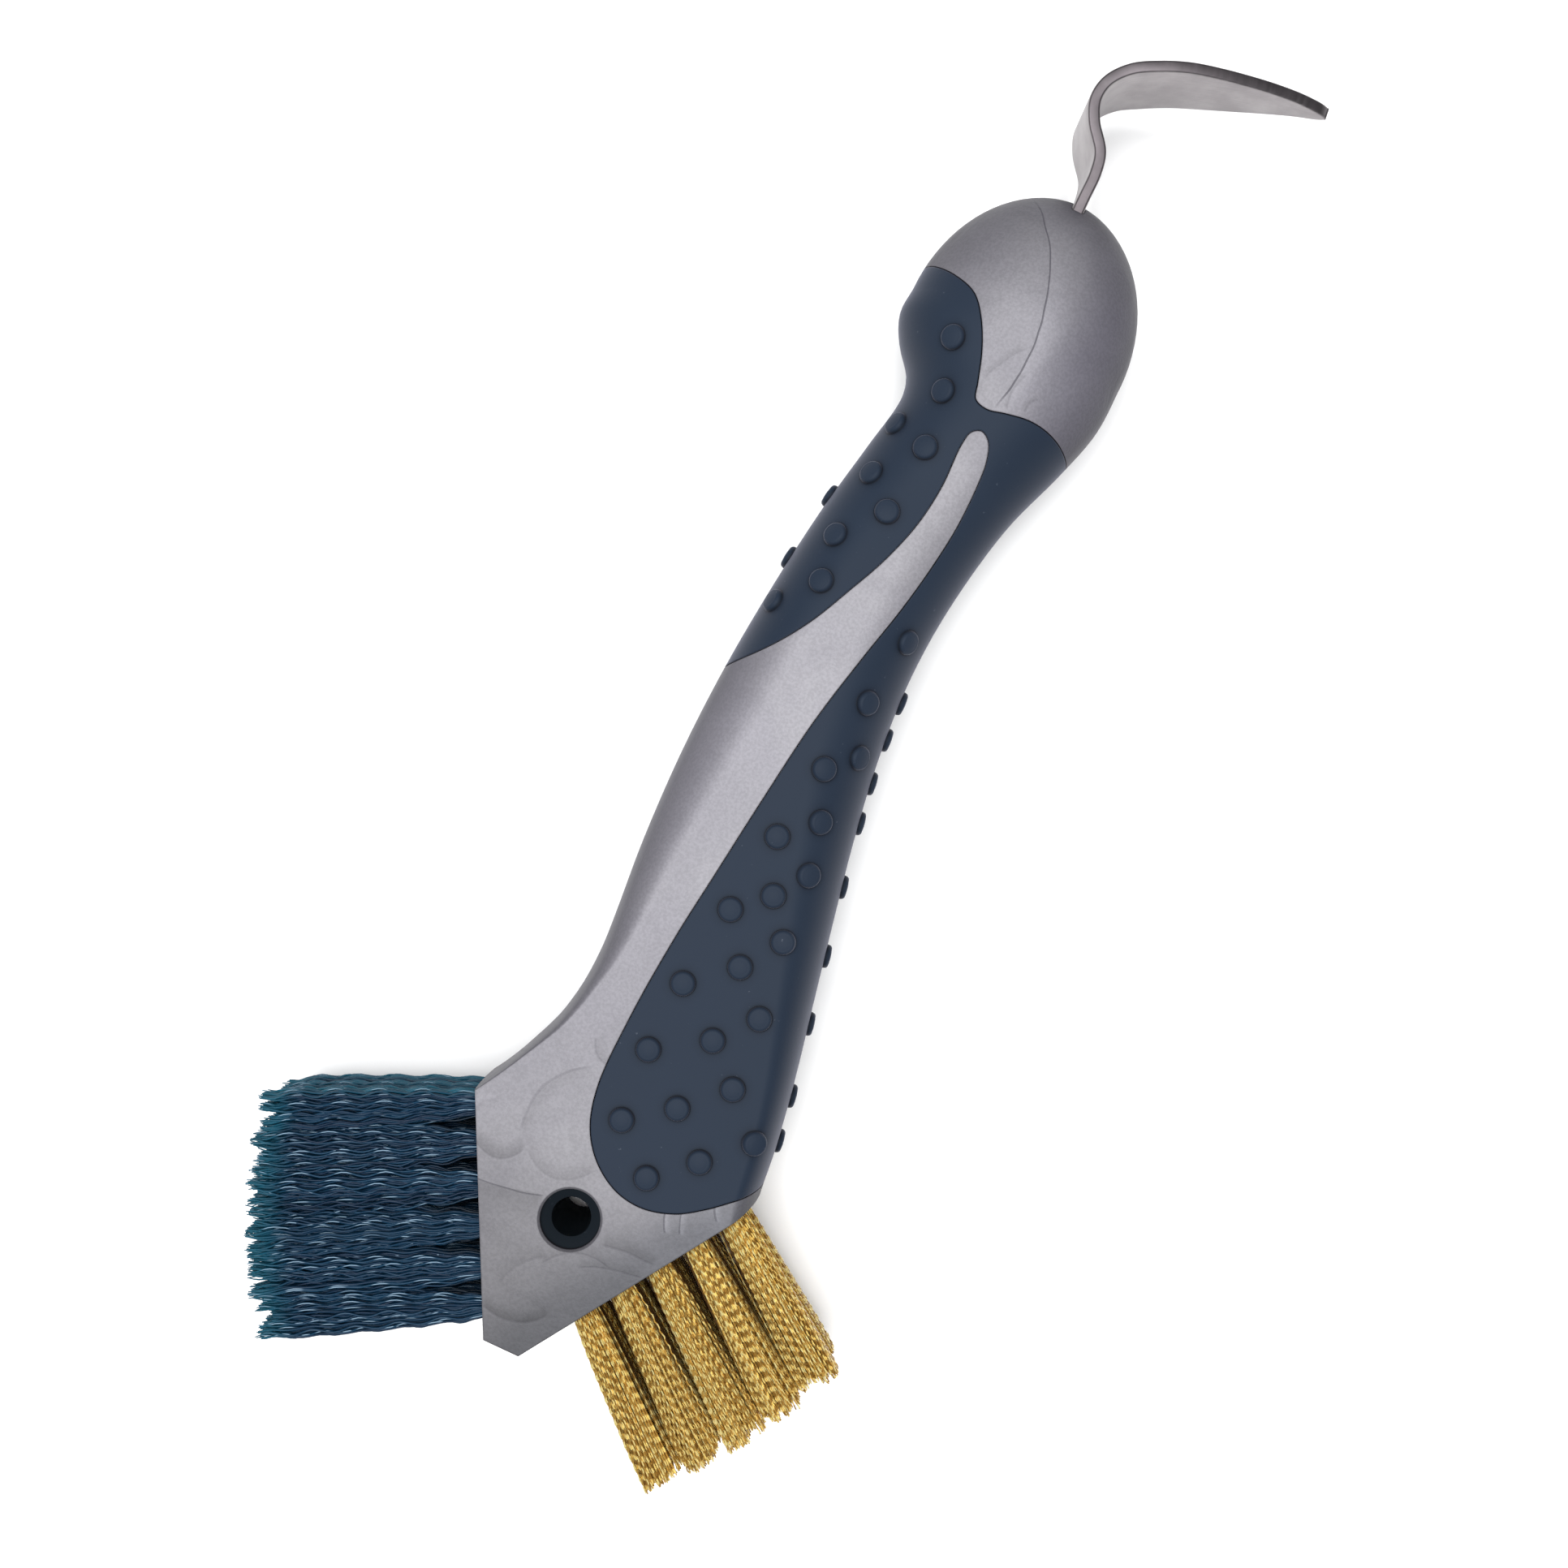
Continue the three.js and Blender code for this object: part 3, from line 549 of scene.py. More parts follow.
def make_grip():
    """The overmoulded rubber: a shell of the handle's shape inside its outline, with raised dots."""
    grip = trimmed_loft("grip", 0, 1, 20, 24, SKIN)
    combine(grip, "INTERSECT", prism_object("grip_edge", grip_outline(0)))
    combine(grip, "DIFFERENCE", handle_loft("grip_inside", GRIP_THICKNESS, 3, 8, 4, CUT))
    places = [(x, y, side * surface_height(x, y)) for x, y in PAD_DOTS + THUMB_DOTS for side in (1, -1)]
    places += [(float(sections(y)[1]), y, 0) for y in RIGHT_SIDE_DOTS]
    places += [(float(sections(y)[0]), y, 0) for y in LEFT_SIDE_DOTS]
    combine(grip, "UNION", joined("dots", [dot(*place) for place in places]))
    return grip


# ---------------------------------------------------------------- the steel pick


def pick_half_width(x, y):
    """Half the strip's width: narrower at the tang's foot, and tapering towards the tip."""
    start, full = PICK_TANG_Y
    if y < full:
        share = (y - start) / (full - start)
        return (PICK_TANG_WIDTH + (PICK_WIDTH - PICK_TANG_WIDTH) * share) / 2
    share = min(1, max(0, (x - TAPER_START_X) / TAPER_LENGTH))
    return PICK_WIDTH * (1 - TAPER_SHARE * share**TAPER_POWER) / 2


def strip_ring(x, y, side, half_thick, half_width, fillet):
    """A rounded rectangle across the strip."""
    fillet = min(fillet, half_thick, half_width)
    ring = []
    for corner in range(4):
        towards = math.pi / 4 + corner * math.pi / 2
        centre_across = math.copysign(half_thick - fillet, math.cos(towards))
        centre_z = math.copysign(half_width - fillet, math.sin(towards))
        for i in range(5):
            angle = towards - math.pi / 4 + i * math.pi / 8
            across = centre_across + fillet * math.cos(angle)
            ring.append((x + side[0] * across, y + side[1] * across, centre_z + fillet * math.sin(angle)))
    return ring


def make_pick():
    """The bent strip, with its end rounded."""
    path = through_points(PICK_PATH, 10)
    along = np.gradient(path, axis=0)
    along /= np.linalg.norm(along, axis=1, keepdims=True)
    last = path[-1]
    end_places = last - along[-1] * PICK_TIP_RADIUS * (1 - np.sin(np.linspace(0, math.pi / 2, 9)))[1:, None]
    keep = np.linalg.norm(path - last, axis=1) > PICK_TIP_RADIUS
    path = np.vstack([path[keep], last - along[-1] * PICK_TIP_RADIUS, end_places])
    along = np.gradient(path, axis=0)
    along /= np.linalg.norm(along, axis=1, keepdims=True)
    rings = []
    for (x, y), (ax, ay) in zip(path, along):
        from_tip = math.hypot(last[0] - x, last[1] - y)
        half_width = pick_half_width(x, y)
        if from_tip < PICK_TIP_RADIUS:
            rounding = math.sqrt(max(0, from_tip * (2 * PICK_TIP_RADIUS - from_tip))) / PICK_TIP_RADIUS
            half_width = max(0.35, half_width * rounding)
        rings.append(strip_ring(x, y, (ay, -ax), PICK_THICKNESS / 2, half_width, PICK_FILLET))
    pick = loft_object("steel_pick", rings)
    pick.data.set_sharp_from_angle(angle=math.radians(50))
    return pick


def tang_slot():
    """What is cut out of the bulb for the tang."""
    x = PICK_PATH[0][0]
    stations = (PICK_TANG_Y[0] - CLEARANCE, PICK_TANG_Y[1], BULB_Y + BULB_HEIGHT + 5)
    rings = []
    for y in stations:
        half_width = pick_half_width(x, max(y, PICK_TANG_Y[0])) + PICK_TANG_FIT
        half_thick = PICK_THICKNESS / 2 + PICK_TANG_FIT
        rings.append(strip_ring(x, y, (1, 0), half_thick, half_width, PICK_FILLET))
    return loft_object("tang_slot", rings, CUT)


# ---------------------------------------------------------------- the brushes


def brush_frame(brush):
    """The brush's own frame: X along its face, Y straight out of it, Z through the thickness."""
    (x0, y0), (x1, y1) = brush["face"]
    return Matrix.Translation((x0, y0, 0)) @ Matrix.Rotation(math.atan2(y1 - y0, x1 - x0), 4, "Z")


def tuft_places(brush):
    """(x, z, lean along the face, lean through the thickness, length) of each tuft, in the CAD's order."""
    places = []
    for row in range(brush["rows"]):
        for column in range(brush["columns"]):
            across = column - (brush["columns"] - 1) / 2
            through = row - (brush["rows"] - 1) / 2
            places.append((
                brush["start"] + brush["pitch"] * column,
                brush["row_pitch"] * through,
                math.radians(brush["lean"] - brush["column_fan"] * across),
                math.radians(brush["row_fan"] * through),
                brush["length"](column),
            ))
    return places


def tuft_holes():
    """What is drilled out of the head for the tufts."""
    holes = []
    past_face = 1
    for brush in BRUSHES.values():
        radius = brush["hole_radius"]
        upright = Matrix.Rotation(-math.pi / 2, 4, "X")
        for x, z, *_ in tuft_places(brush):
            profile = [(0, -HOLE_DEPTH), (radius, -HOLE_DEPTH), (radius, past_face), (0, past_face)]
            matrix = brush_frame(brush) @ Matrix.Translation((x, 0, z)) @ upright
            holes.append(turned_object("hole", profile, 32, matrix))
    return joined("tuft_holes", holes)


def strand_layout(brush, column):
    """The strands of one tuft, seen end on: their roots, their tips and the clump that each one ends in."""
    count = brush["count"]
    half_x, half_z = brush["tip_half"]
    # Strands fill a disc at the root, and a squarer patch at the tips.
    spread = np.sqrt((np.arange(count) + 0.5) / count)
    turn = np.arange(count) * math.pi * (3 - math.sqrt(5)) + RANDOM.uniform(0, 6)
    cos, sin = np.cos(turn), np.sin(turn)
    square = 1 / (np.abs(cos) ** TIP_SQUARENESS + np.abs(sin) ** TIP_SQUARENESS) ** (1 / TIP_SQUARENESS)
    root = (brush["hole_radius"] - CLEARANCE - brush["radius"]) * spread
    tip_x = (half_x - brush["radius"]) * spread * square * cos
    tip_z = (half_z - brush["radius"]) * spread * square * sin
    wander = RANDOM.normal(0, brush["wander"], (2, count))
    loose = RANDOM.uniform(0, 1, count) < brush["loose"]
    wander[0] += np.where(loose, RANDOM.uniform(-STRAY, STRAY, count), 0)
    least = -half_x - (brush["overlap"] if column > 0 else -OUTER_INSET)
    most = half_x + (brush["overlap"] if column < brush["columns"] - 1 else -OUTER_INSET)
    tip_x = np.clip(tip_x * (1 + brush["overlap"] / half_x) + wander[0], least, most)
    tip_z = np.clip(tip_z + wander[1], -half_z, half_z)
    # Strands end in clumps: each is drawn towards one of a few tips, and is about as long as its neighbours.
    clumps = RANDOM.uniform(least + CLUMP_INSET, most - CLUMP_INSET, brush["clumps"])
    clump = np.abs(clumps[None] - tip_x[:, None]).argmin(1)
    to_clump = clumps[clump] - tip_x
    gather = to_clump * (brush["clump"] * RANDOM.uniform(0.3, 1, count))
    raggedness = brush["ragged"]
    ragged = RANDOM.normal(0, raggedness, brush["clumps"])[clump] - np.abs(to_clump) * raggedness
    ragged = ragged + RANDOM.normal(0, raggedness / 3, count) + raggedness / 2
    return {
        "root_x": root * cos, "root_z": root * sin, "tip_x": tip_x, "tip_z": tip_z, "gather": gather,
        "loose": loose, "ragged": ragged.clip(SHORTEST, brush["longest"]), "sideways": spread * cos,
    }


def strand_lines(brush, place, layout):
    """The strands' middle lines: x, out and z in the brush's frame, the share of the length and the crimp."""
    x, z, lean_x, lean_z, length = place
    count = brush["count"]
    reach = length - TIP_SETBACK + layout["ragged"]
    out = np.linspace(STRAND_START, reach, brush["rings"]).T
    share = np.clip(out / length, 0, 1)
    fan = share ** np.where(layout["loose"], 0.3, brush["spreading"])[:, None]
    centre_x = x + np.clip(out, 0, None) * math.tan(lean_x)
    centre_z = z + np.clip(out, 0, None) * math.tan(lean_z)
    centre_x = centre_x + layout["root_x"][:, None] * (1 - fan) + layout["tip_x"][:, None] * fan
    centre_z = centre_z + layout["root_z"][:, None] * (1 - fan) + layout["tip_z"][:, None] * fan
    centre_x = centre_x + layout["gather"][:, None] * np.clip(share * 5 - 4, 0, 1)
    # The crimp swings nearly in step through a tuft.
    phase = RANDOM.uniform(0, 2 * math.pi) + RANDOM.normal(0, brush["phase_spread"], count)
    swing = brush["swing"] + RANDOM.normal(0, brush["swing_spread"], count)
    wave = brush["wave"] * RANDOM.uniform(0.94, 1.06, count)
    size = brush["crimp"] * np.clip(out / 4, 0, 1) * RANDOM.uniform(0.5, 1.2, count)[:, None]
    crest = np.sin(out / wave[:, None] * 2 * math.pi + phase[:, None])
    centre_x = centre_x + size * crest * np.cos(swing)[:, None]
    centre_z = centre_z + size * crest * np.sin(swing)[:, None]
    return centre_x, out, centre_z, share, crest


def make_tuft(name, brush, place):
    """One tuft of separate crimped strands, from inside its hole to its ragged tips."""
    count, rings, sides = brush["count"], brush["rings"], brush["sides"]
    column = round((place[0] - brush["start"]) / brush["pitch"])
    layout = strand_layout(brush, column)
    centre_x, out, centre_z, share, crest = strand_lines(brush, place, layout)

    thin = 1 - brush["taper"] * np.clip((share - 0.9) / 0.1, 0, 1)
    radius = (brush["radius"] * thin)[..., None]
    angle = np.arange(sides) / sides * 2 * math.pi
    points = np.stack([
        centre_x[..., None] + radius * np.cos(angle),
        np.repeat(out[..., None], sides, -1),
        centre_z[..., None] + radius * np.sin(angle),
    ], -1).reshape(-1, 3)
    matrix = np.array(brush_frame(brush))
    points = points @ matrix[:3, :3].T + matrix[:3, 3]

    body = np.array(ring_faces(rings, sides))[:, ::-1]
    per_strand = rings * sides
    faces = (body[None] + np.arange(count)[:, None, None] * per_strand).reshape(-1, 4).tolist()
    for first in range(0, count * per_strand, per_strand):
        faces.append([first + j for j in range(sides)])
        faces.append([first + per_strand - 1 - j for j in range(sides)])
    mesh = bpy.data.meshes.new(name)
    mesh.from_pydata((points * MM + ORIGIN).tolist(), [], faces)
    mesh.polygons.foreach_set("use_smooth", [True] * len(mesh.polygons))
    mesh.set_sharp_from_angle(angle=math.radians(80))

    # Painted shadow deep between two tufts, near their roots. The last tuft's outer strands are the top edge.
    last = brush["columns"] - 1
    sideways = layout["sideways"]
    has_neighbour = np.where(sideways > 0, column < last, column > 0)
    painted_shade_beside = np.clip((np.abs(sideways) - 0.72) * 6, 0, 1) * has_neighbour
    rootward = np.clip((brush["gap_shadow"] - share) / brush["gap_shadow"] * 2, 0, 1)
    outermost = sideways.clip(0, 1) if column == last else np.zeros(count)
    values = {
        "strand": np.repeat(RANDOM.uniform(0, 1, count), rings),
        "along": share,
        "shadow": painted_shade_beside[:, None] * rootward,
        "edge": np.repeat(outermost, rings),
        "crest": crest,
    }
    for key, value in values.items():
        attribute = mesh.attributes.new(key, "FLOAT", "POINT")
        attribute.data.foreach_set("value", np.repeat(value.reshape(-1), sides))
    return linked_object(name, mesh)


# ---------------------------------------------------------------- materials


class Shader:
    """Builds one material's node tree, a line for each node."""

    def __init__(self, name):
        self.material = bpy.data.materials.new(name)
        self.material.use_nodes = True
        self.tree = self.material.node_tree
        self.surface = self.tree.nodes["Principled BSDF"]
        self.places = self.tree.nodes.new("ShaderNodeTexCoord").outputs["Object"]

    def node(self, kind, inputs=None, **settings):
        made = self.tree.nodes.new("ShaderNode" + kind)
        for key, value in settings.items():
            setattr(made, key, value)
        for key, value in (inputs or {}).items():
            self.put(made.inputs[key], value)
        return made

    def put(self, socket, value):
        if isinstance(value, bpy.types.NodeSocket):
            self.tree.links.new(value, socket)
        else:
            socket.default_value = value

    def set(self, **inputs):
        for key, value in inputs.items():
            self.put(self.surface.inputs[key.replace("_", " ")], value)

    def noise(self, per_metre, detail=2, roughness=0.5, distortion=0, at=None):
        inputs = {"Vector": at or self.places, "Scale": per_metre, "Detail": detail, "Roughness": roughness}
        inputs["Distortion"] = distortion
        return self.node("TexNoise", inputs).outputs["Fac"]

    def ramp(self, value, stops):
        """A colour ramp from (place, colour) stops. A colour may be one number, for a grey."""
        made = self.node("ValToRGB", {"Fac": value})
        elements = made.color_ramp.elements
        while len(elements) < len(stops):
            elements.new(0.5)
        for element, (place, colour) in zip(elements, stops):
            element.position = place
            element.color = (colour,) * 3 + (1,) if isinstance(colour, (int, float)) else (*colour, 1)
        return made.outputs["Color"]

    def mix(self, share, first, second, blend="MIX"):
        made = self.node("Mix", data_type="RGBA", blend_type=blend)
        for key, value in ((0, share), (6, first), (7, second)):
            if isinstance(value, (tuple, list)):
                value = (*value, 1)
            self.put(made.inputs[key], value)
        return made.outputs[2]

    def math(self, operation, *values):
        made = self.node("Math", operation=operation)
        for socket, value in zip(made.inputs, values):
            self.put(socket, value)
        return made.outputs[0]

    def between(self, value, low, high, smooth=True):
        """0 below low and 1 above high. With high under low, the other way round."""
        kind = "SMOOTHSTEP" if smooth else "LINEAR"
        inputs = {"Value": value, "From Min": min(low, high), "From Max": max(low, high)}
        inputs["To Min"], inputs["To Max"] = (0, 1) if low < high else (1, 0)
        return self.node("MapRange", inputs, interpolation_type=kind).outputs["Result"]

    def multiply(self, *values):
        """The product of numbers."""
        product = values[0]
        for value in values[1:]:
            product = self.math("MULTIPLY", product, value)
        return product

    def tint(self, colour, *factors):
        """A colour multiplied by others."""
        for factor in factors:
            colour = self.mix(1.0, colour, factor, "MULTIPLY")
        return colour

    def scaled(self, value, low, high):
        """A 0 to 1 value brought to run from low to high."""
        return self.node("MapRange", {"Value": value, "To Min": low, "To Max": high}).outputs["Result"]

    def attribute(self, name):
        return self.node("Attribute", attribute_name=name).outputs["Fac"]

    def flatness(self):
        """1 where the surface faces straight up or down, and 0 on its upright sides."""
        normal = self.node("TexCoord").outputs["Normal"]
        return self.math("ABSOLUTE", self.node("SeparateXYZ", {"Vector": normal}).outputs["Z"])

    def softened(self):
        """The normal, with its edges rounded over."""
        return self.node("Bevel", {"Radius": 0.3 * MM}, samples=4).outputs["Normal"]

    def bump(self, height, distance, strength=1, normal=None):
        inputs = {"Height": height, "Distance": distance, "Strength": strength}
        if normal is not None:
            inputs["Normal"] = normal
        return self.node("Bump", inputs).outputs["Normal"]

    def flow_marks(self, x, y):
        """How dark the marks' lines are at a place, and how much painted shade lies beside them (painted
        light below 0).
        """
        hair, shade = None, None
        wobble = self.multiply(self.math("SUBTRACT", self.noise(170, 1), 0.5), 0.9)
        for start, middle, end, width, darkness, painted_shade_beside, reach in FLOW_MARKS:
            start, middle, end = Vector(start), Vector(middle), Vector(end)
            half = (end - start).length / 2
            along = (end - start) / (2 * half)
            across = Vector((-along.y, along.x))
            centre = (start + end) / 2
            bow = (middle - centre).dot(across)
            u = self.turned_axis(x, y, along, centre)
            v = self.math("ADD", self.turned_axis(x, y, across, centre), wobble)
            arc = self.math("MULTIPLY_ADD", self.multiply(u, u), -bow / half**2, bow)
            away = self.math("SUBTRACT", v, arc)
            ends = self.between(self.math("ABSOLUTE", u), half, half * 0.8)
            line = self.between(self.math("ABSOLUTE", away), width, width * 0.2)
            line = self.multiply(line, ends, darkness)
            fade = self.multiply(self.between(away, -0.2, 0.2), self.between(away, reach, 0.2))
            side = self.multiply(fade, ends, painted_shade_beside)
            hair = line if hair is None else self.math("MAXIMUM", hair, line)
            shade = side if shade is None else self.math("ADD", shade, side)
        return hair, shade

    def turned_axis(self, x, y, axis, centre):
        """The distance along an axis in the design's X-Y plane from a centre."""
        sum_x = self.math("MULTIPLY_ADD", x, axis.x, -centre.dot(axis))
        return self.math("MULTIPLY_ADD", y, axis.y, sum_x)

    def design_axes(self):
        """X, Y and Z sockets of the surface's place, in design millimetres."""
        shift = self.node("VectorMath", operation="SUBTRACT")
        self.put(shift.inputs[0], self.places)
        self.put(shift.inputs[1], tuple(ORIGIN))
        scale = self.node("VectorMath", {"Scale": 1 / MM}, operation="SCALE")
        self.put(scale.inputs[0], shift.outputs[0])
        return self.node("SeparateXYZ", {"Vector": scale.outputs[0]}).outputs[:3]


def marbled_plastic():
    """Pearly grey plastic, with flow marks where the mould filled last: the bulb and the brush head."""
    s = Shader("marbled_plastic")
    x, y, _ = s.design_axes()
    busy = s.math("MAXIMUM", s.between(y, 46, 22), s.between(y, 122, 138))

    cloud = s.noise(38, 2, 0.5, 0.8)
    fine_cloud = s.noise(120, 2, 0.5, 1.2)
    grain = s.noise(2300, 1, 0.6)
    base = s.mix(s.between(cloud, 0.35, 0.65), (0.205, 0.199, 0.222), (0.24, 0.234, 0.254))
    speckled = s.mix(0.1, base, s.ramp(grain, [(0.35, 0.15), (0.65, 0.9)]), "OVERLAY")
    mottled = s.mix(0.05, speckled, s.ramp(fine_cloud, [(0.35, 0.2), (0.65, 0.8)]), "OVERLAY")

    # Painted shade: darker towards both ends, on the upright sides, towards the brass brush and on the bulb's
    # right.
    low, high = PAINTED_LIGHT_ALONG[0][0], PAINTED_LIGHT_ALONG[-1][0]
    stops = [((at - low) / (high - low), share) for at, share in PAINTED_LIGHT_ALONG]
    painted_shade_lengthways = s.ramp(s.math("DIVIDE", s.math("SUBTRACT", y, low), high - low), stops)
    sides = s.mix(s.between(s.flatness(), 0.4, 1.02, smooth=False), (0.27, 0.26, 0.31), (1, 1, 1))
    brass_way = s.math("SUBTRACT", s.multiply(x, 0.84), s.multiply(y, 0.54))
    brass_side_shade_mask = s.multiply(s.between(brass_way, 2, 12), s.between(y, 24, 8))
    painted_shade_towards_brass = s.mix(brass_side_shade_mask, (1, 1, 1), (0.56, 0.58, 0.6))
    bulb_right_shade_mask = s.multiply(s.between(x, 4, 19), s.between(y, 118, 134))
    painted_shade_on_right = s.mix(bulb_right_shade_mask, (1, 1, 1), (0.72, 0.71, 0.77))

    # The marks' dark lines are the plastic's own; beside them, shade and light are painted.
    hair, shade = s.flow_marks(x, y)
    painted_shade_by_marks = s.math("SUBTRACT", 1, shade)
    shaded = s.tint(mottled, painted_shade_lengthways, sides, painted_shade_towards_brass, painted_shade_on_right, painted_shade_by_marks)
    lined = s.mix(hair, shaded, (0.045, 0.042, 0.055))

    waves = s.multiply(s.math("ADD", cloud, s.multiply(fine_cloud, 0.3)), busy)
    wrinkles = s.multiply(s.noise(330, 3, 0.6, 1.4), s.between(y, 0, -6), 0.5)
    rolling = s.bump(waves, 1.2 * MM, 0.5, s.softened())
    wrinkled = s.bump(s.math("SUBTRACT", wrinkles, hair), 0.12 * MM, 0.6, rolling)
    s.set(Base_Color=lined, Metallic=0.12, Specular_IOR_Level=0.3)
    s.set(Roughness=s.scaled(cloud, 0.45, 0.56), Normal=s.bump(grain, 0.04 * MM, 0.6, wrinkled))
    return s.material


def grip_rubber():
    """Navy thermoplastic rubber with a satin, very faintly grained skin, and painted shade in its hollows."""
    s = Shader("grip_rubber")
    cloud = s.noise(55, 3)
    grain = s.noise(3200, 2, 0.6)
    dust = s.between(s.noise(900, 2, 0.7), 0.72, 0.8)
    base = s.mix(cloud, (0.011, 0.0185, 0.033), (0.016, 0.025, 0.042))
    dusty = s.mix(s.multiply(dust, 0.22), base, (0.16, 0.18, 0.22))
    # Painted shade: near black where ambient occlusion finds hollows, around the dots and along the seams.
    painted_shade_ao = s.node("AmbientOcclusion", {"Distance": 1.6 * MM}, samples=8).outputs["AO"]
    s.set(Base_Color=s.mix(s.between(painted_shade_ao, 0.6, 0.99), (0.003, 0.005, 0.009), dusty))
    s.set(Roughness=s.scaled(cloud, 0.55, 0.66), Normal=s.bump(grain, 0.03 * MM, 0.35, s.softened()))
    s.set(Sheen_Weight=0.16, Sheen_Roughness=0.4, Sheen_Tint=(0.8, 0.8, 1, 1), Specular_IOR_Level=0.12)
    return s.material


def sleeve_rubber():
    """The hang hole's lining: black rubber with specks of dust, its near-black also painted shade for the
    depth of the hole.
    """
    s = Shader("sleeve_rubber")
    speck = s.between(s.noise(1500, 2, 0.7), 0.68, 0.8)
    # Painted shade in part: the lining's near-black also stands in for the shade deep in the hole.
    s.set(Base_Color=s.mix(s.multiply(speck, 0.3), (0.006, 0.009, 0.0125), (0.05, 0.06, 0.07)))
    s.set(Roughness=0.75, Specular_IOR_Level=0.08, Normal=s.bump(s.noise(2600, 2), 0.03 * MM, 0.3))
    return s.material


def pick_steel():
    """Satin steel, with fine brushing along the strip, paler patches and painted shade on its edges."""
    s = Shader("pick_steel")
    brushed_places = s.node("Mapping", {"Vector": s.places, "Scale": (120, 120, 5200)}).outputs["Vector"]
    brushing = s.noise(1, 3, 0.6, at=brushed_places)
    patches = s.noise(130, 4, 0.6)
    base = s.mix(s.between(patches, 0.3, 0.75), (0.23, 0.213, 0.22), (0.32, 0.3, 0.306))
    streaked = s.mix(0.16, base, s.ramp(brushing, [(0.25, 0.15), (0.75, 0.9)]), "OVERLAY")
    # Painted shade: the strip's narrow edges, which face up and down, are painted darker.
    painted_edge_shade_mask = s.between(s.flatness(), 0.6, 0.95)
    painted_edge_shaded = s.tint(streaked, s.mix(painted_edge_shade_mask, (1, 1, 1), (0.4, 0.385, 0.4)))
    s.set(Base_Color=painted_edge_shaded, Metallic=1.0, Roughness=s.scaled(brushing, 0.34, 0.52))
    s.set(Normal=s.bump(brushing, 0.02 * MM, 0.4))
    return s.material


def nylon_filament():
    """Navy to teal nylon, lighter teal at the tips and along the top edge, with painted glints along some
    strands' crests.
    """
    s = Shader("nylon_filament")
    strand, crest = s.attribute("strand"), s.attribute("crest")
    dark = s.mix(strand, (0.004, 0.015, 0.036), (0.006, 0.034, 0.07))
    tips = s.mix(s.between(s.attribute("along"), 0.8, 1), dark, (0.006, 0.075, 0.115))
    top_edge = s.between(s.attribute("edge"), 0.45, 0.95)
    tinted = s.mix(s.multiply(top_edge, 0.7), tips, (0.008, 0.1, 0.15))
    # Painted glints: pale lines along the crests of some strands, where they face up or down.
    painted_glint_ridge = s.between(s.flatness(), 0.86, 0.99)
    painted_glints = s.multiply(s.between(crest, 0.1, 0.75), s.between(strand, 0.66, 0.76), painted_glint_ridge, 0.9)
    with_painted_glints = s.mix(painted_glints, tinted, (0.22, 0.32, 0.41))
    # Painted shadow: near black deep between the tufts' roots.
    s.set(Base_Color=s.mix(s.multiply(s.attribute("shadow"), 0.8), with_painted_glints, (0.001, 0.003, 0.006)))
    s.set(Roughness=0.36, Specular_IOR_Level=0.16, Normal=s.bump(s.noise(4000, 1), 0.01 * MM, 0.3))
    return s.material


def brass_wire():
    """Brass wire with painted glints on the crimp's crests and painted shade in its troughs, darker at the
    root, and with painted shadow down between the tufts' roots.
    """
    s = Shader("brass_wire")
    strand = s.attribute("strand")
    painted_lit_brass = s.mix(strand, (1, 0.77, 0.25), (1, 0.9, 0.42))
    dark = s.mix(strand, (0.27, 0.14, 0.026), (0.74, 0.47, 0.11))
    # Painted glints and shade: along the crimp, the wire is painted bright on its crests and dark in its
    # troughs.
    painted_sparkle = s.mix(s.between(s.attribute("crest"), -0.25, 0.45), dark, painted_lit_brass)
    darker_at_root = s.mix(s.between(s.attribute("along"), 0.06, 0), painted_sparkle, (0.3, 0.17, 0.05))
    # Painted shadow: dark brown deep between the tufts' roots.
    s.set(Base_Color=s.mix(s.attribute("shadow"), darker_at_root, (0.1, 0.05, 0.018)), Metallic=0.6, Roughness=0.33)
    s.set(Normal=s.bump(s.noise(1500, 1), 0.03 * MM, 0.3))
    return s.material


def drawn_wire():
    """Flat anchor wire, hidden in the holes."""
    s = Shader("drawn_wire")
    s.set(Base_Color=s.mix(s.noise(800, 2), (0.35, 0.24, 0.08), (0.5, 0.36, 0.14)))
    s.set(Metallic=1.0, Roughness=0.45)
    return s.material


def pale_floor():
    s = Shader("pale_floor")
    s.set(Base_Color=s.mix(s.noise(6, 2), (0.95, 0.95, 0.95), (0.96, 0.96, 0.96)), Roughness=0.9)
    s.set(Specular_IOR_Level=0.1)
    return s.material


# ---------------------------------------------------------------- stage


def area_light(name, place, size, watts, aim):
    """A rectangular studio light, in metres and watts."""
    light = bpy.data.lights.new(name, "AREA")
    light.shape = "RECTANGLE"
    light.size, light.size_y = size
    light.energy = watts
    lamp = linked_object(name, light)
    lamp.location = place
    lamp.rotation_euler = (Vector(aim) - Vector(place)).to_track_quat("-Z", "Y").to_euler()
    lamp.visible_camera = False


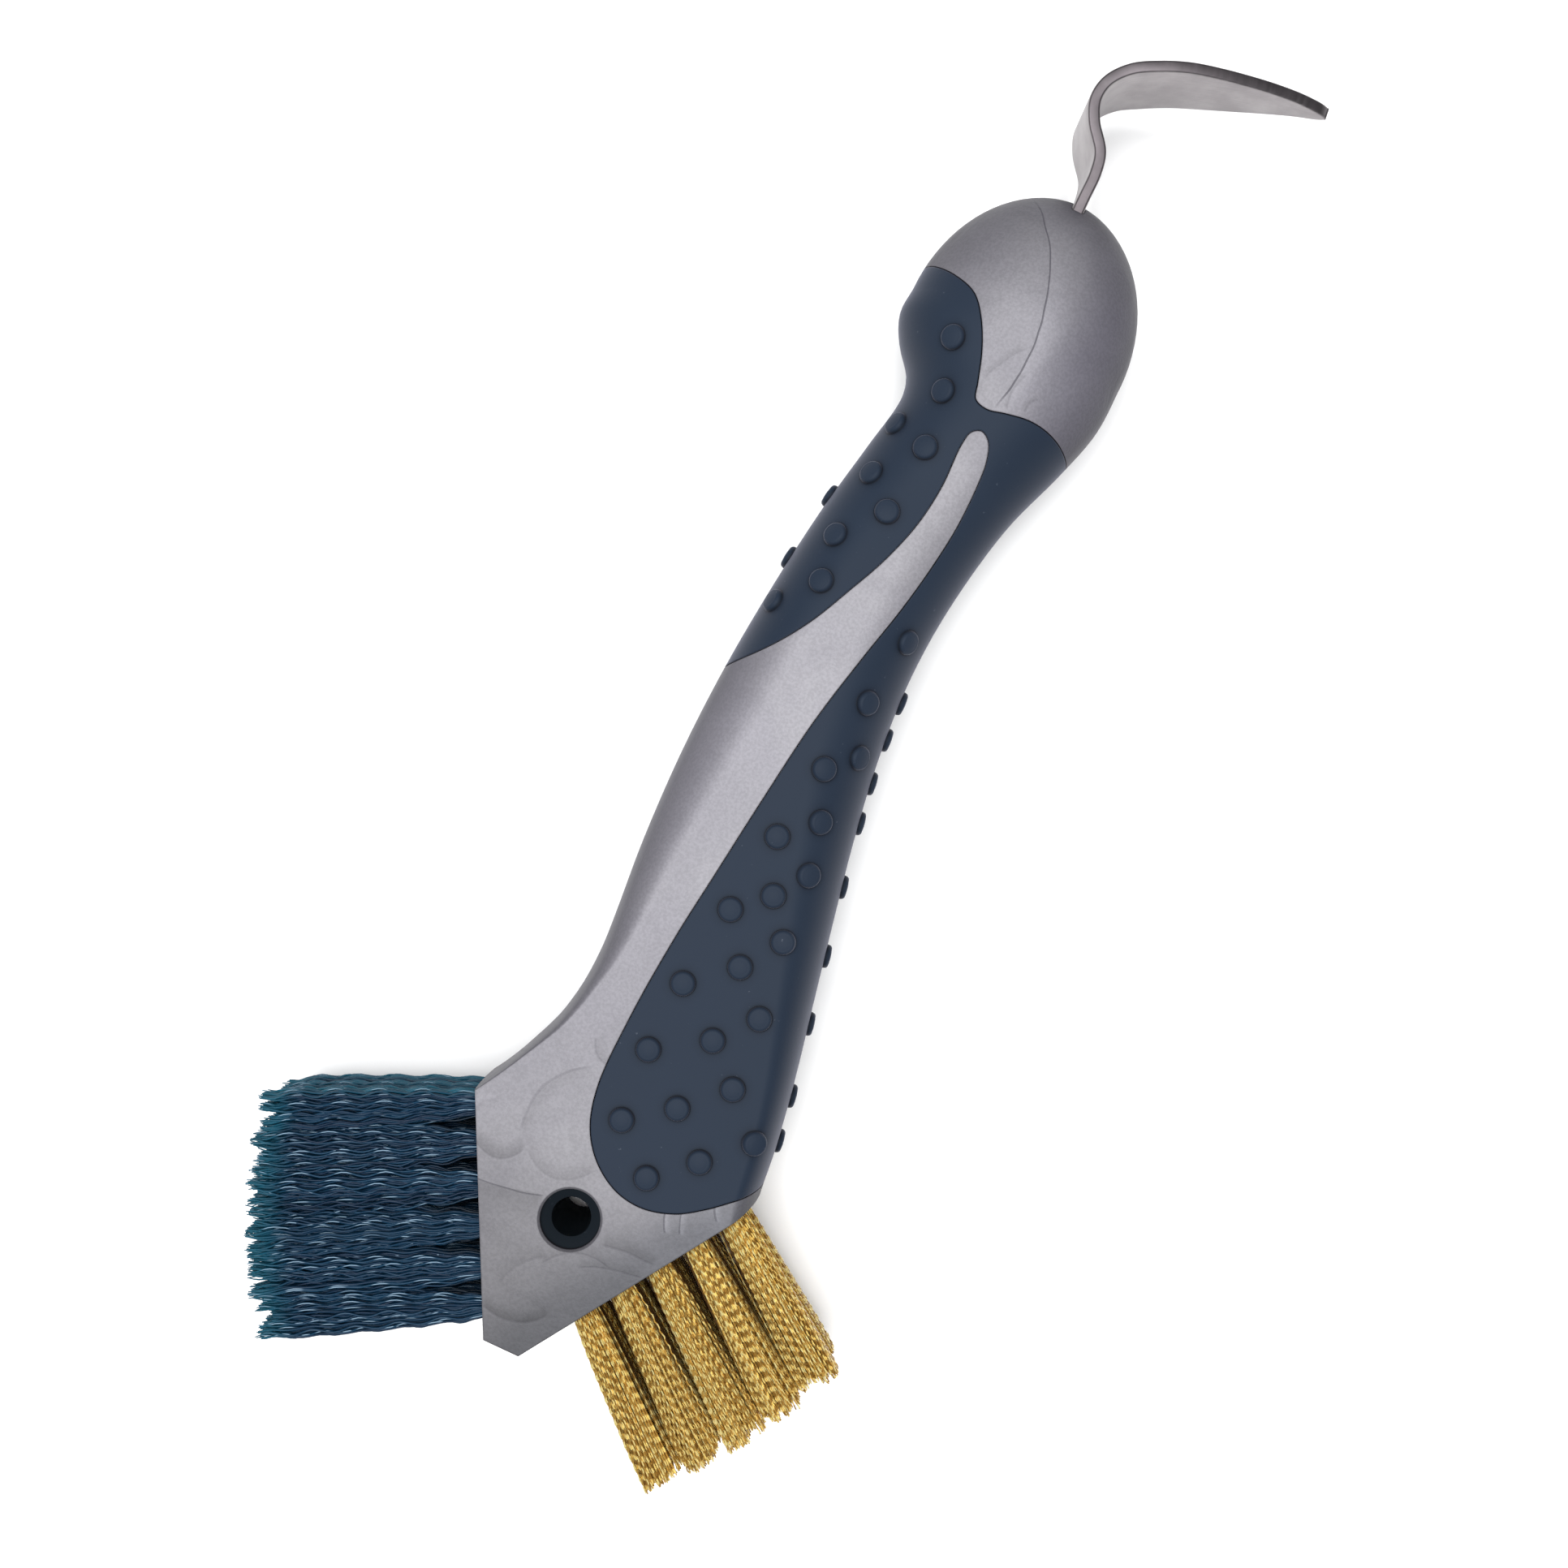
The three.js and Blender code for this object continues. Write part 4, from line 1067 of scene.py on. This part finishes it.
def make_stage():
    """The floor, the lights and the camera."""
    floor = mesh_object("floor", [(-1, -1, 0), (1, -1, 0), (1, 1, 0), (-1, 1, 0)], [(0, 1, 2, 3)])
    floor.data.transform(Matrix.Translation(-Vector(ORIGIN)))
    floor.data.transform(Matrix.Diagonal((FLOOR_HALF_SIDE / MM, FLOOR_HALF_SIDE / MM, 1, 1)))
    floor.data.materials.clear()
    floor.data.materials.append(pale_floor())
    floor.location.z = CAD_BOX[0][2] - FLOOR_DROP

    world = bpy.data.worlds.new("studio")
    world.use_nodes = True
    background = world.node_tree.nodes["Background"].inputs
    background["Color"].default_value = (0.95, 0.97, 1, 1)
    background["Strength"].default_value = 0.22
    bpy.context.scene.world = world
    area_light("overhead", place=(-0.1, -0.02, 1.2), size=(1.15, 1.15), watts=28, aim=(0, 0, 0))

    camera = bpy.data.cameras.new("camera")
    camera.sensor_width = 36
    camera.lens = camera.sensor_width / 2 * CAMERA_HEIGHT / VIEW_HALF_WIDTH
    camera.clip_start = 0.01
    eye = linked_object("camera", camera)
    eye.location = np.array((*CAMERA_OVER, CAMERA_HEIGHT)) * MM + ORIGIN
    eye.rotation_euler = (0, 0, math.radians(CAMERA_TURN))
    bpy.context.scene.camera = eye
    bpy.context.scene.view_settings.view_transform = "Standard"


# ---------------------------------------------------------------- assembly


def finish_piece(piece, node, material):
    """Dresses a piece, and lets it stand for its CAD node."""
    piece.data.materials.clear()
    piece.data.materials.append(material)
    piece.data.polygons.foreach_set("material_index", [0] * len(piece.data.polygons))
    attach(piece, "root")
    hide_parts(node)


def main():
    """Makes every piece, dresses the hidden CAD anchors, and sets the stage."""
    plastic, rubber, wire = marbled_plastic(), grip_rubber(), drawn_wire()
    strands = {"nylon": nylon_filament(), "brass": brass_wire()}

    core = make_core()
    grip = make_grip()
    for piece in (core, grip):
        shade_by_shape(piece)
    finish_piece(core, "handle_core", plastic)
    finish_piece(grip, "grip_overmould", rubber)
    finish_piece(make_sleeve(), "hang_hole_sleeve", sleeve_rubber())
    finish_piece(make_pick(), "pick_blade", pick_steel())

    for kind, brush in BRUSHES.items():
        for number, place in enumerate(tuft_places(brush), 1):
            tuft = make_tuft(f"{kind}_strands_{number:02d}", brush, place)
            finish_piece(tuft, f"{kind}_tuft_{number:02d}", strands[kind])
            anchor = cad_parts[f"{kind}_anchor_{number:02d}"]
            anchor.data.materials.clear()
            anchor.data.materials.append(wire)

    make_stage()


main()
